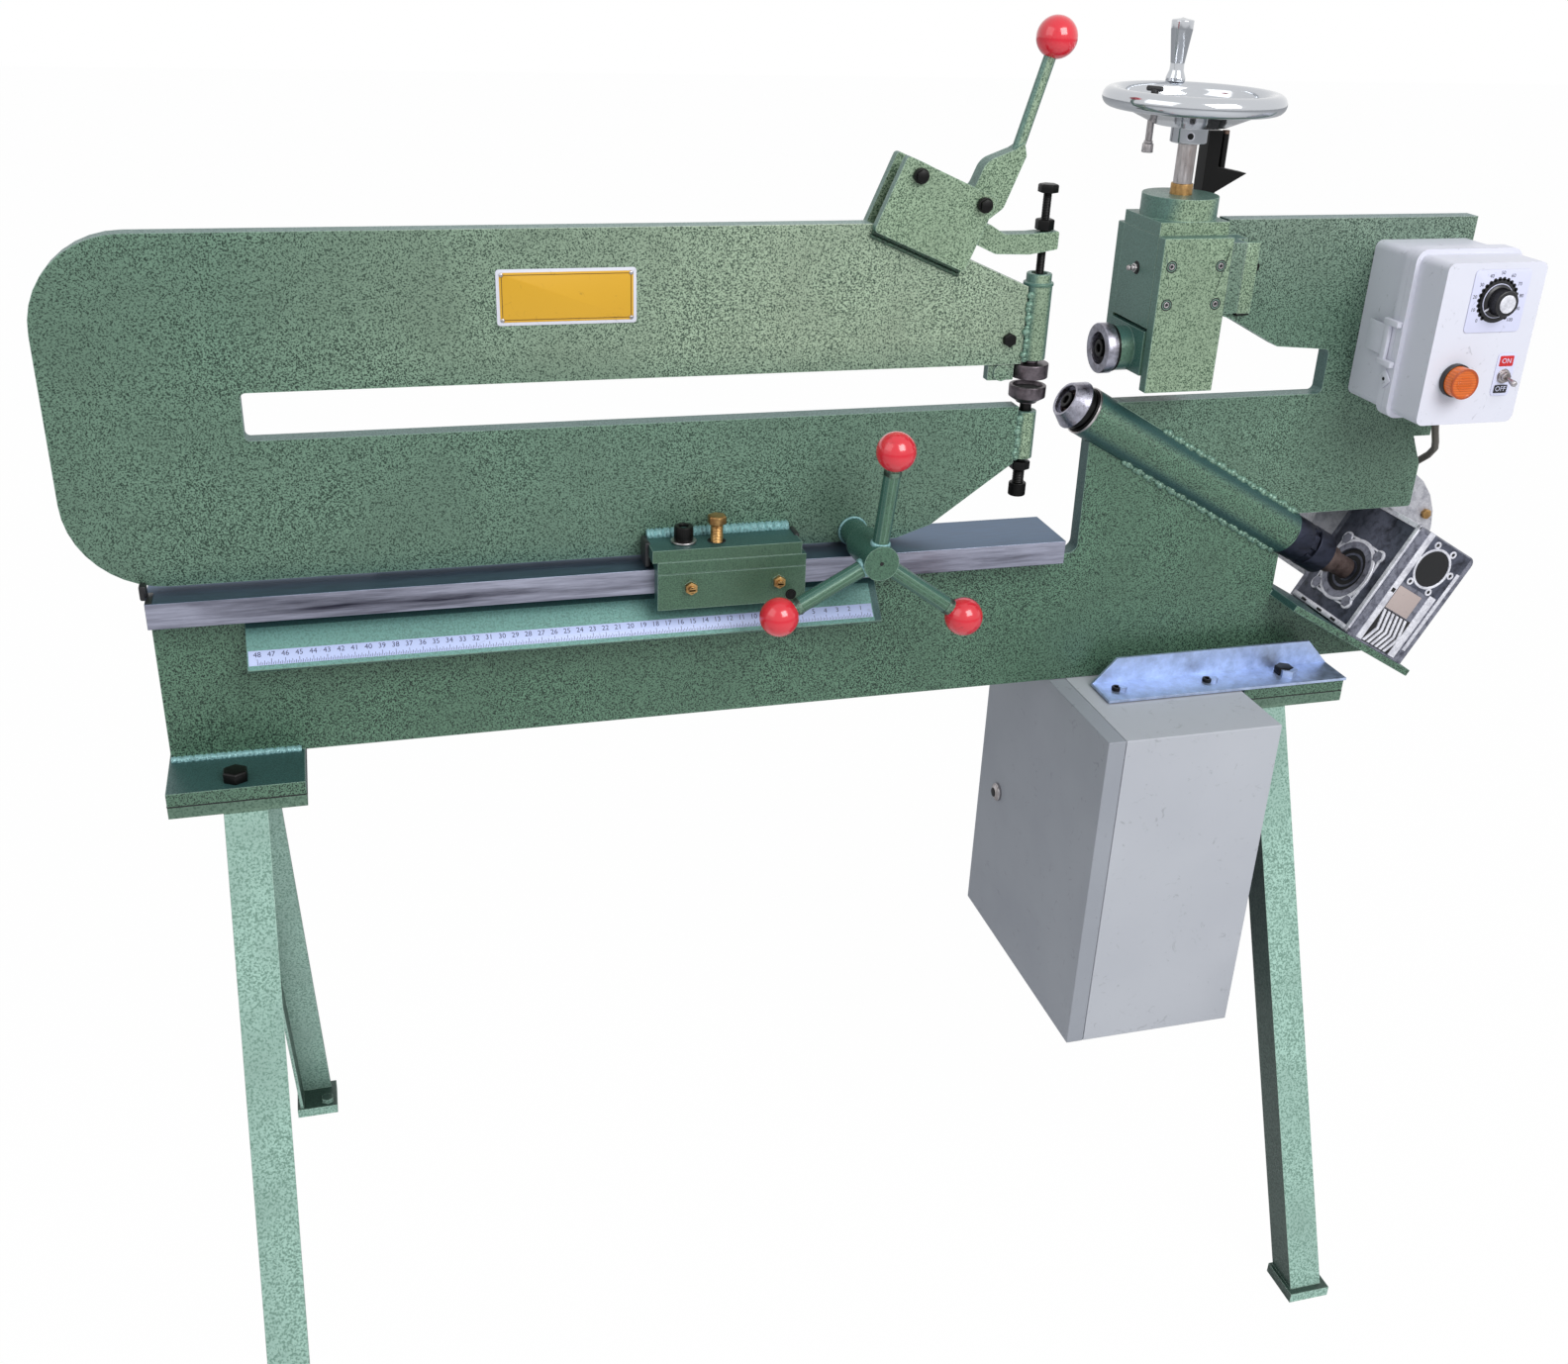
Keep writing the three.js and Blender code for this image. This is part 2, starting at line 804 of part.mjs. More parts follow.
// Angle leg, leaned out by moving its foot while its ends stay level
function leg(x, lean, side, top) {
  const bottom = padThickness;
  const edge = side * flangeDepth / 2;
  const inner = edge - side * angleLeg;
  const wallInner = edge - side * angleWall;
  const height = top - bottom;
  const flat = levelPlate([[x, edge], [x + angleLeg, edge], [x + angleLeg, wallInner], [x, wallInner]],
    bottom - weld, height + weld);
  const web = levelPlate([[x, edge], [x + angleWall, edge], [x + angleWall, inner], [x, inner]],
    bottom - weld, height + weld);
  const spread = side * (footSpread - flangeDepth / 2 - padInset) / height;
  const shear = new THREE.Matrix4().set(
    1, 0, -lean / height, lean * top / height,
    0, 1, -spread, spread * top,
    0, 0, 1, 0,
    0, 0, 0, 1,
  );
  return join(flat, web).applyMatrix4(shear);
}

function footPad(x, lean, side) {
  const left = x + lean - padInset / 2;
  const outer = side * footSpread;
  const inner = outer - side * padSize;
  const pad = block(left, left + padSize, Math.min(outer, inner), Math.max(outer, inner), 0, padThickness);
  const bolt = hexagon(padBoltRadius, padThickness - weld, padThickness + padBoltHead);
  const boltX = left + padSize - padBoltRadius - padInset / 2;
  return join(pad, bolt.translate(boltX, inner + side * (padBoltRadius + padInset / 2), 0));
}

// A stand is one weldment: a top plate, two splayed angle legs and their pads
function buildStand(name, left, x, frontLean, rearLean) {
  const top = baseBottom - flangeThickness - seat;
  const under = top - flangeThickness;
  const plate = block(left, left + flangeLength, -flangeDepth / 2, flangeDepth / 2, under, top);
  const legs = [[-1, frontLean], [1, rearLean]].flatMap(([side, lean]) => [
    leg(x, lean, side, under + weld),
    footPad(x, lean, side),
  ]);
  place(name, finishes.hammertonePale, join(plate, ...legs));
}

function buildRail() {
  const low = beamTop + seat;
  place('slide_rail', finishes.bareSteel,
    block(0, railLength, -railWidth / 2, railWidth / 2, low, railTop));
}

// Straight rack on the rail behind the C-shaped plate; its teeth leave room for the pinion's tips
function buildRack() {
  const front = halfPlate + rackSetback;
  const low = railTop + seat;
  const pitch = Math.PI * toothModule;
  const body = block(rackStart, rackEnd, front, front + rackDepth, low, low + rackHeight);
  const top = low + rackHeight;
  const gap = pitch / 2 + shaftPlay;
  const cuts = [];
  for (let x = capstanX; x < rackEnd - pitch; x += pitch) cuts.push(x);
  for (let x = capstanX - pitch; x > rackStart + pitch; x -= pitch) cuts.push(x);
  const tools = cuts.map((x) => uprightPlate([
    [x - gap * rackFloorShare, top - toothDepth],
    [x + gap * rackFloorShare, top - toothDepth],
    [x + gap * rackMouthShare, top + overrun],
    [x - gap * rackMouthShare, top + overrun],
  ], front - overrun, rackDepth + 2 * overrun));
  place('rack', finishes.toolSteel, cut(body, ...tools));
}

// C-shaped plate with the small boss block under the end of its upper arm
function buildCPlate() {
  const up = (height) => cBottom + height;
  const tubeEdge = quillX - upperTubeRadius - seat;
  const lowerEdge = quillX - lowerTubeRadius - seat;
  const corners = [
    [cLeft, up(0), cCorner],
    [lowerSlopeStart, up(0)],
    [lowerSlopeMidX, up(lowerSlopeMidHeight)],
    [lowerEdge, up(lowerSlopeEndHeight)],
    [lowerEdge, up(slotBottom)],
    [slotLeft, up(slotBottom), slotCorner],
    [slotLeft, up(slotBottom + slotHeight), slotCorner],
    [tubeEdge, up(slotBottom + slotHeight)],
    [tubeEdge, up(topSlopeEndHeight)],
    [topSlopeMidX, up(topSlopeMidHeight)],
    [topEdgeEnd, up(cHeight)],
    [cLeft, up(cHeight), cCorner],
  ];
  const plate = uprightPlate(corners, -halfPlate, plateThickness);
  const blockRight = quillX - upperDiscRadius - running - shaftPlay;
  const stop = block(blockRight - stopBlockLength, blockRight, -halfPlate + stopBlockInset / 2,
    halfPlate - stopBlockInset / 2, slotCeiling - stopBlockHeight, slotCeiling + weld);
  const boss = alongY(rod(stopBossRadius, 0, stopBossLength + weld, smallSides));
  boss.translate(blockRight - stopBlockLength / 2, -halfPlate + stopBlockInset / 2 - stopBossLength,
    slotCeiling - stopBlockHeight / 2);
  const bearing = alongY(bore(capstanShaftRadius + running, -halfPlate - overrun, halfPlate + overrun));
  bearing.translate(capstanX, 0, cBottom + capstanHeight);
  place('c_frame_plate', finishes.hammertone, cut(join(plate, stop, boss), bearing));
}

// Carriage: a welded shelf, a bolted saddle on the rail and a keeper bar down its front face
function buildCarriage() {
  const front = -halfPlate - seat;
  const saddleLow = railTop + seat;
  const saddleTop = saddleLow + saddleThickness;
  const shelfLow = saddleTop + seat;
  const shelfTop = shelfLow + shelfThickness;
  const shelfRight = carriageX + carriageLength;
  const saddleLeft = carriageX + carriageStep;
  const saddleRight = saddleLeft + carriageLength;
  const hole = bore(lockBoltHole, shelfLow - overrun, shelfTop + overrun);
  hole.translate(carriageX + lockBoltInset, front - lockBoltBack - keeperThickness / 2, 0);
  const shelf = cut(block(carriageX, shelfRight, front - shelfDepth, front, shelfLow, shelfTop), hole);
  const capScrew = rod(capScrewRadius, shelfTop - weld, shelfTop + capScrewHeight, smallSides);
  capScrew.translate(carriageX + capScrewInset, front - capScrewBack, 0);
  place('carriage_shelf', finishes.hammertone, join(shelf, capScrew));
  place('carriage_saddle', finishes.hammertone,
    block(saddleLeft, saddleRight, front - shelfDepth, front, saddleLow, saddleTop));
  const keeperTop = saddleLow - seat;
  const keeperBack = -railWidth / 2 - running;
  const screws = [saddleLeft + keeperScrewInset, saddleRight - keeperScrewInset + carriageStep].map((x) => {
    const screw = alongY(rod(keeperScrewRadius, -keeperScrewLength, weld, smallSides));
    const nut = alongY(hexagon(keeperScrewNut, -keeperScrewNutHeight, weld));
    const y = keeperBack - keeperThickness;
    return join(screw, nut).translate(x, y, keeperTop - keeperScrewDrop);
  });
  const keeper = block(saddleLeft, saddleRight, keeperBack - keeperThickness, keeperBack,
    keeperTop - keeperHeight, keeperTop);
  place('front_keeper', finishes.hammertone, join(keeper, ...screws));
  const boltFoot = saddleTop + seat;
  const boltTop = shelfTop + lockBoltRise;
  const bolt = join(
    rod(lockBoltRadius, boltFoot, boltTop, smallSides),
    hexagon(lockBoltHeadRadius, boltTop - weld, boltTop + lockBoltHeadHeight),
  );
  bolt.translate(carriageX + lockBoltInset, front - lockBoltBack - keeperThickness / 2, 0);
  place('lock_bolt', finishes.brass, bolt);
  const back = halfPlate + seat;
  const guideBack = railWidth / 2 + running;
  const arm = block(saddleLeft, saddleRight, back, guideBack + rearGuideThickness,
    shelfLow, shelfTop);
  const wall = block(saddleLeft, saddleRight, guideBack, guideBack + rearGuideThickness,
    keeperTop - keeperHeight, shelfTop);
  place('rear_guide', finishes.hammertone, join(arm, wall));
}

// Capstan: hub and spokes in front, shaft through the C-shaped plate and pinion behind it
function buildCapstan() {
  const height = cBottom + capstanHeight;
  const pitchRadius = toothModule * toothCount / 2;
  const tip = pitchRadius + toothDepth / 2;
  const hubFront = -capstanReach;
  const pinionFront = halfPlate + rackSetback - (pinionWidth - rackDepth) / 2;
  const hub = alongY(rod(capstanHubRadius, hubFront, hubFront + capstanHubLength));
  const boss = alongY(rod(capstanBossRadius, hubFront + capstanHubLength - weld, -halfPlate - seat));
  const shaft = alongY(rod(capstanShaftRadius, -halfPlate - seat - weld, pinionFront + weld));
  const teeth = [];
  for (let i = 0; i < 2 * toothCount; i += 1) {
    const turn = Math.PI * i / toothCount - Math.PI / 2;
    const out = i % 2 === 0 ? tip : tip - toothDepth;
    const half = Math.PI / toothCount * (i % 2 === 0 ? pinionTipShare : pinionRootShare);
    teeth.push([out * Math.cos(turn - half), out * Math.sin(turn - half)]);
    teeth.push([out * Math.cos(turn + half), out * Math.sin(turn + half)]);
  }
  const pinion = uprightPlate(teeth, pinionFront, pinionWidth);
  const spokeY = hubFront + capstanHubRadius / 2 + spokeInset;
  const spokeReach = spokeLength - ballRadius + ballSink;
  const spokes = spokeAngles.map((angle) => rod(spokeRadius, 0, spokeReach, smallSides)
    .rotateX(spokeRake * degree).rotateY((90 - angle) * degree).translate(0, spokeY, 0));
  const capstan = join(hub, boss, shaft, pinion, ...spokes).translate(capstanX, 0, height);
  place('capstan', finishes.hammertone, capstan);
  spokeAngles.forEach((angle, i) => {
    const socket = bore(spokeRadius + seat, -ballRadius - overrun, -ballRadius + ballSink + seat);
    const ball = cut(new THREE.SphereGeometry(ballRadius, 2 * ballSteps, ballSteps), socket);
    ball.translate(0, 0, spokeLength).rotateX(spokeRake * degree).rotateY((90 - angle) * degree);
    place(`capstan_knob_${i + 1}`, finishes.redPlastic, ball.translate(capstanX, spokeY, height));
  });
}

// Clamp linkage in a frame tilted with the cheeks: X along their lower edge, Z square to it
const clampFrame = new THREE.Matrix4();
const cheekFootZ = cTop - cheekLap / Math.cos(cheekTilt * degree) + cheekLap;
clampFrame.makeRotationY(cheekTilt * degree).setPosition(cheekX, 0, cheekFootZ - cheekLap / 2);

function inClamp(along, up) {
  const point = new THREE.Vector3(along, 0, up).applyMatrix4(clampFrame);
  return [point.x, point.z];
}

const [armPivotX, armPivotZ] = inClamp(armPivotAlong, armPivotUp);
const [camPivotX, camPivotZ] = inClamp(camPivotAlong, camPivotUp);

function pivotBore(x, z) {
  return alongY(bore(pivotRadius + running, -cheekLength, cheekLength)).translate(x, 0, z);
}

function buildCheeks() {
  const corners = rectangle(0, cheekLength, 0, cheekWidth, cheekCorner);
  const front = -halfPlate - seat - cheekThickness;
  const frontCheek = uprightPlate(corners, front, cheekThickness).applyMatrix4(clampFrame);
  const rearCheek = uprightPlate(corners, halfPlate + seat, cheekThickness).applyMatrix4(clampFrame);
  const bolts = [[armPivotX, armPivotZ], [camPivotX, camPivotZ]].map(([x, z]) => {
    const head = alongY(hexagon(pivotHeadRadius, front - pivotHeadHeight, front + weld));
    const shank = alongY(rod(pivotRadius, front, halfPlate + seat + cheekThickness, smallSides));
    return join(head, shank).translate(x, 0, z);
  });
  place('front_cheek', finishes.hammertone, join(frontCheek, ...bolts));
  place('rear_cheek', finishes.hammertone,
    cut(rearCheek, pivotBore(armPivotX, armPivotZ), pivotBore(camPivotX, camPivotZ)));
}

// Cranked arm from its pivot between the cheeks to the adjusting bolt above the quill
const quillTop = slotCeiling + upperTubeRise + upperTubeLength + collarHeight;
const armUnderside = quillTop + adjusterReach + armRise / 2;

function buildClampArm() {
  const low = armUnderside;
  const high = low + armDepth;
  const end = quillX + armEndLength;
  const [rootX, rootZ] = inClamp(armPivotAlong - armEyeRadius / 2, armPivotUp - armEyeRadius);
  const [waistX, waistZ] = inClamp(camPivotAlong - camRadius / 2, camPivotUp - camRadius - seat - running);
  const [heelX, heelZ] = inClamp(camPivotAlong - camRadius / 2, camPivotUp - camRadius - armDepth);
  const [noseX, noseZ] = inClamp(camPivotAlong + camRadius / 2, camPivotUp - camRadius - seat - running);
  const [backX, backZ] = inClamp(armPivotAlong - armEyeRadius, armPivotUp + armEyeRadius);
  const [crownX, crownZ] = inClamp(armPivotAlong + armEyeRadius, armPivotUp + armEyeRadius);
  const [dipX, dipZ] = inClamp(camPivotAlong - camLobe - armEyeRadius, camPivotUp - camRadius);
  const profile = [
    [rootX, rootZ, armEyeRadius / 2],
    [heelX, heelZ, armEyeRadius],
    [quillX - armSagX, low - armSagDrop, armEyeRadius],
    [quillX - armWaistX, low - armWaistDrop, armDepth],
    [end, low, cornerFlat / 2],
    [end, high, cornerFlat / 2],
    [quillX - armWaistX, high - armNeckDrop, armDepth],
    [quillX - armNeckX, high - armNeckDrop, armEyeRadius],
    [quillX - armNoseX, high + armNoseRise, cornerFlat],
    [noseX, noseZ],
    [waistX, waistZ],
    [dipX, dipZ, armEyeRadius / 2],
    [crownX, crownZ, armEyeRadius / 2],
    [backX, backZ, armEyeRadius / 2],
  ];
  const arm = uprightPlate(profile, -linkThickness / 2, linkThickness);
  const hole = bore(adjusterRadius + seat, low - armWaistDrop - overrun, high + overrun);
  place('clamp_arm', finishes.hammertone,
    cut(arm, pivotBore(armPivotX, armPivotZ), hole.translate(quillX, 0, 0)));
}

function buildAdjuster() {
  const nutLow = armUnderside + armDepth + seat;
  const headLow = nutLow + adjusterNutHeight + adjusterRise;
  const shankLow = quillTop - collarHeight + seat;
  const bolt = join(
    rod(adjusterRadius, shankLow, headLow + weld, smallSides),
    hexagon(adjusterHeadRadius, headLow, headLow + adjusterHeadHeight),
    hexagon(adjusterNutRadius, nutLow, nutLow + adjusterNutHeight),
  );
  place('adjusting_bolt', finishes.blackOxide, bolt.translate(quillX, 0, 0));
}

// Cam lever: an eccentric eye, a shoulder that narrows to a round rod, and a ball
function buildCamLever() {
  const lobe = camLobeAngle * degree;
  const reach = Math.hypot(leverTipX, leverTipZ);
  const lean = Math.atan2(leverTipX - leverNeckX, leverTipZ - leverNeckZ);
  const body = uprightPlate([
    [-camRadius * Math.sin(lean), camRadius * Math.cos(lean), camRadius / 2],
    [-camRadius, 0, camRadius / 2],
    [-camRadius / 2, -camRadius * camHeelShare, camRadius / 4],
    [camRadius / 2, -camRadius * camHeelShare, camRadius / 4],
    [camLobe * Math.cos(lobe), camLobe * Math.sin(lobe), camRadius / 2],
    [leverNeckX + leverRodRadius, leverNeckZ - leverRodRadius, cornerFlat],
    [leverNeckX + leverRodRadius / 2, leverNeckZ + leverRodRadius],
    [leverNeckX - leverRodRadius, leverNeckZ, cornerFlat],
    [camRadius * leverShoulder / reach, leverShoulder + camRadius / 2, camRadius],
  ], -linkThickness / 2, linkThickness);
  const rodLength = Math.hypot(leverTipX - leverNeckX, leverTipZ - leverNeckZ);
  const lever = rod(leverRodRadius, -leverRodRadius, rodLength, smallSides)
    .rotateY(lean).translate(leverNeckX, 0, leverNeckZ);
  const lifted = join(body, lever).translate(camPivotX, 0, camPivotZ);
  place('cam_lever', finishes.hammertone, cut(lifted, pivotBore(camPivotX, camPivotZ)));
  const socket = bore(leverRodRadius + seat, -ballRadius - overrun, -ballRadius + ballSink);
  const ball = cut(new THREE.SphereGeometry(ballRadius, 2 * ballSteps, ballSteps), socket);
  const ballReach = rodLength - ballSink + ballRadius + seat;
  ball.rotateY(lean).translate(
    camPivotX + leverNeckX + ballReach * Math.sin(lean),
    0,
    camPivotZ + leverNeckZ + ballReach * Math.cos(lean),
  );
  place('lever_knob', finishes.redPlastic, ball);
}

// A clamping disc: its working face is a shallow cup
function disc(radius, footRadius, thickness, hole) {
  return spun([
    [hole, 0],
    [footRadius, 0],
    [radius, thickness / 3],
    [radius, thickness],
    [discCupRadius, thickness],
    [discCupRadius - discCupDepth, thickness - discCupDepth],
    [hole, thickness - discCupDepth],
    [hole, 0],
  ]);
}

function buildQuill() {
  const tubeLow = slotCeiling + upperTubeRise;
  const tubeTop = tubeLow + upperTubeLength;
  const upperTube = spun([
    [spindleRadius + running, tubeLow],
    [upperTubeRadius, tubeLow],
    [upperTubeRadius, tubeTop],
    [collarRadius, tubeTop],
    [collarRadius, tubeTop + collarHeight],
    [collarBore, tubeTop + collarHeight],
    [collarBore, tubeTop],
    [spindleRadius + running, tubeTop],
    [spindleRadius + running, tubeLow],
  ], mediumSides);
  place('upper_quill_tube', finishes.hammertone, upperTube.translate(quillX, 0, 0));
  const discTop = slotCeiling - upperDiscGap;
  const discLow = discTop - upperDiscThickness;
  const spindle = join(
    rod(spindleRadius, discTop + seat, tubeTop, smallSides),
    rod(discBore - running, discTop - spindleTipLength, discTop + 2 * seat, smallSides),
  );
  place('upper_spindle', finishes.bareSteel, spindle.translate(quillX, 0, 0));
  const upperDisc = disc(upperDiscRadius, upperDiscRadius, upperDiscThickness, discBore);
  place('upper_clamp_disc', finishes.toolSteel,
    upperDisc.rotateX(Math.PI).translate(quillX, 0, discTop));
  const lowerTop = discLow - clampOpening;
  const lowerFoot = lowerTop - lowerDiscHeight;
  place('lower_clamp_disc', finishes.toolSteel,
    disc(lowerDiscRadius, lowerDiscFoot, lowerDiscHeight, discBore).translate(quillX, 0, lowerFoot));
  const tubeHead = lowerFoot - lowerNeckLength;
  const tubeFoot = tubeHead - lowerTubeLength;
  const lowerTube = spun([
    [jackSpindleRadius + running, tubeFoot],
    [lowerTubeRadius, tubeFoot],
    [lowerTubeRadius, tubeHead],
    [jackSpindleRadius + running, tubeHead],
    [jackSpindleRadius + running, tubeFoot],
  ], mediumSides);
  place('lower_quill_tube', finishes.hammertone, lowerTube.translate(quillX, 0, 0));
  const nutLow = tubeFoot - seat - jackNutHeight - jackTravel;
  const headTop = nutLow - jackScrewLength;
  const jack = join(
    rod(discBore - running, lowerFoot - weld, lowerTop - lowerDiscHeight / 2, smallSides),
    rod(lowerNeckRadius + running, tubeHead - weld, lowerFoot - seat, smallSides),
    rod(jackSpindleRadius, tubeFoot + overrun, tubeHead, smallSides),
    rod(jackScrewRadius, headTop - weld, tubeFoot + overrun + weld, smallSides),
    hexagon(jackNutRadius, nutLow, nutLow + jackNutHeight),
    hexagon(jackHeadRadius, headTop - jackHeadHeight, headTop),
  );
  place('jack_screw', finishes.blackOxide, jack.translate(quillX, 0, 0));
}

// Head: a core with a vertical slideway, closed by a front and a back plate and by a cap
const headLeft = headX - headWidth / 2;
const headRight = headX + headWidth / 2;
const headLow = baseBottom + headBottom;
const headTop = headLow + headHeight;
const wayHalf = slideWayDepth - headPlateGauge - seat;
const windowTop = headLow + windowHeight;
const cutterAxis = baseBottom + upperCutterHeight;

function buildHead() {
  const wayLeft = headLeft + slideWallThickness;
  const wayRight = headRight - slideWallThickness;
  const core = block(headLeft, headRight, -wayHalf, wayHalf, headLow, headTop);
  const slotLow = cutterAxis - slideTravelDown - upperShaftRadius - running;
  const slotHigh = cutterAxis + slideTravelUp + upperShaftRadius + running;
  place('head_core', finishes.hammertone, cut(
    core,
    block(wayLeft, wayRight, -wayHalf - overrun, wayHalf + overrun, headLow - overrun,
      headTop - slideWallThickness),
    block(headLeft - overrun, headX, -wayHalf - overrun, wayHalf + overrun, headLow - overrun, windowTop),
    block(headX, headRight + overrun, -upperShaftRadius - running, upperShaftRadius + running,
      slotLow, slotHigh),
    bore(screwRadius + running, headTop - headHeight, headTop + overrun).translate(headX, 0, 0),
    block(headLeft - overrun, headLeft + seat, -greaserRadius, greaserRadius,
      headLow + greaserHeight - greaserRadius, headLow + greaserHeight + greaserRadius),
  ));
  const holes = [-1, 1].flatMap((side) => screwRowShares.map((share) => alongY(
    rod(headScrewRadius, -overrun, headScrewHeadDepth, smallSides),
  ).translate(headX + side * headWidth * screwColumnShare, -slideWayDepth, headLow + headHeight * share)));
  place('head_front_plate', finishes.hammertone, cut(
    block(headLeft, headRight, -slideWayDepth, -slideWayDepth + headPlateGauge, headLow, headTop),
    ...holes,
  ));
  place('head_back_plate', finishes.hammertone,
    block(headLeft, headRight, slideWayDepth - headPlateGauge, slideWayDepth, headLow, headTop));
  const capLow = headTop + seat;
  const capTop = capLow + headCapHeight;
  const bossTop = capTop + headBossHeight;
  const cap = block(headLeft, headRight - seat, -wayHalf - seat, wayHalf + seat, capLow, capTop);
  const boss = rod(headBossRadius, capTop - weld, bossTop).translate(headX, 0, 0);
  const bushHole = bore(bushRadius + seat, capLow + headCapHeight / 2, bossTop + overrun);
  const screwHole = bore(screwRadius + running, capLow - overrun, capTop);
  place('head_cap', finishes.hammertone,
    cut(join(cap, boss), bushHole.translate(headX, 0, 0), screwHole.translate(headX, 0, 0)));
  const bushLow = capLow + headCapHeight / 2 + seat;
  place('screw_bush', finishes.brass, spun([
    [screwRadius + running, bushLow],
    [bushRadius, bushLow],
    [bushRadius, bossTop + bushRise],
    [screwRadius + running, bossTop + bushRise],
    [screwRadius + running, bushLow],
  ], mediumSides).translate(headX, 0, 0));
  buildDepthStop();
}

// Depth stop post that stands on the bracket behind the arm
function buildDepthStop() {
  const low = headLow + bracketTop + seat;
  const left = headRight + stopPostGap;
  const right = left + stopPlateThickness;
  const back = slideWayDepth - stopPlateSetback;
  const front = back - stopPlateDepth;
  const armTop = low + stopArmRise + stopArmHeight;
  const post = block(left, right, front, back, low, low + stopPlateHeight);
  const arm = uprightPlate([
    [right - weld, armTop - stopArmHeight],
    [right + stopArmLength, armTop - stopArmHeight / 4],
    [right - weld, armTop],
  ], front, stopPlateDepth);
  const rodTop = low + stopPlateHeight - stopRodRadius;
  const stopRod = rod(stopRodRadius, armTop - stopArmHeight / 2, rodTop, smallSides);
  stopRod.translate(right + stopRodOffset, (front + back) / 2, 0);
  place('depth_stop', finishes.blackOxide, join(post, arm, stopRod));
}

// Slide block with its collar, and the shaft and cutter that turn in it
function buildSlide() {
  const face = headLeft - slideFaceProud;
  const wayLeft = headLeft + slideWallThickness + running;
  const wayRight = headRight - slideWallThickness - running;
  const half = wayHalf - seat;
  const top = windowTop - slideTravelUp - seat - running;
  const stemTop = top + slideStemHeight;
  const body = block(face, wayRight, -half, half, top - slideBlockHeight, top);
  const stem = block(wayLeft, wayRight, -half, half, top - weld, stemTop);
  const cutterFace = headX - upperCutterReach;
  const ringLow = cutterFace + cutterThickness + seat;
  const ringHigh = ringLow + upperRingLength;
  const onAxis = (geometry) => alongX(geometry).translate(0, 0, cutterAxis);
  const collar = onAxis(rod(upperCollarRadius, ringHigh + seat, face + weld));
  const journal = onAxis(bore(upperShaftRadius + running, ringHigh - overrun, wayRight + overrun));
  const socket = bore(screwRadius + running, stemTop - screwCollarRadius, stemTop + overrun);
  place('cutter_slide', finishes.hammertone,
    cut(join(body, stem, collar), journal, socket.translate(headX, 0, 0)));
  const tailLow = headRight + running;
  const tailHigh = tailLow + tailWasherLength;
  const stub = cutterRecessRadius - cutterBoltRadius;
  const boltLow = cutterFace + cutterRecessDepth - cutterBoltHeight;
  const shaft = join(
    onAxis(rod(stub, boltLow + weld, ringLow + weld, smallSides)),
    onAxis(hexagon(cutterBoltRadius, boltLow, boltLow + cutterBoltHeight - seat)),
    onAxis(rod(upperRingRadius, ringLow, ringHigh)),
    onAxis(rod(upperShaftRadius, ringHigh - weld, tailLow + weld, smallSides)),
    onAxis(rod(tailWasherRadius, tailLow, tailHigh, smallSides)),
    onAxis(hexagon(tailBoltRadius, tailHigh - weld, tailHigh + tailBoltLength)),
  );
  place('upper_shaft', finishes.blackOxide, shaft);
  place('upper_cutter', finishes.toolSteel, onAxis(spun([
    [stub + seat, cutterFace + cutterRecessDepth],
    [cutterRecessRadius, cutterFace + cutterRecessDepth],
    [cutterRecessRadius, cutterFace],
    [cutterRadius - cutterBevel, cutterFace],
    [cutterRadius, cutterFace + cutterBevel],
    [cutterRadius, cutterFace + cutterThickness],
    [stub + seat, cutterFace + cutterThickness],
    [stub + seat, cutterFace + cutterRecessDepth],
  ])));
  return stemTop;
}

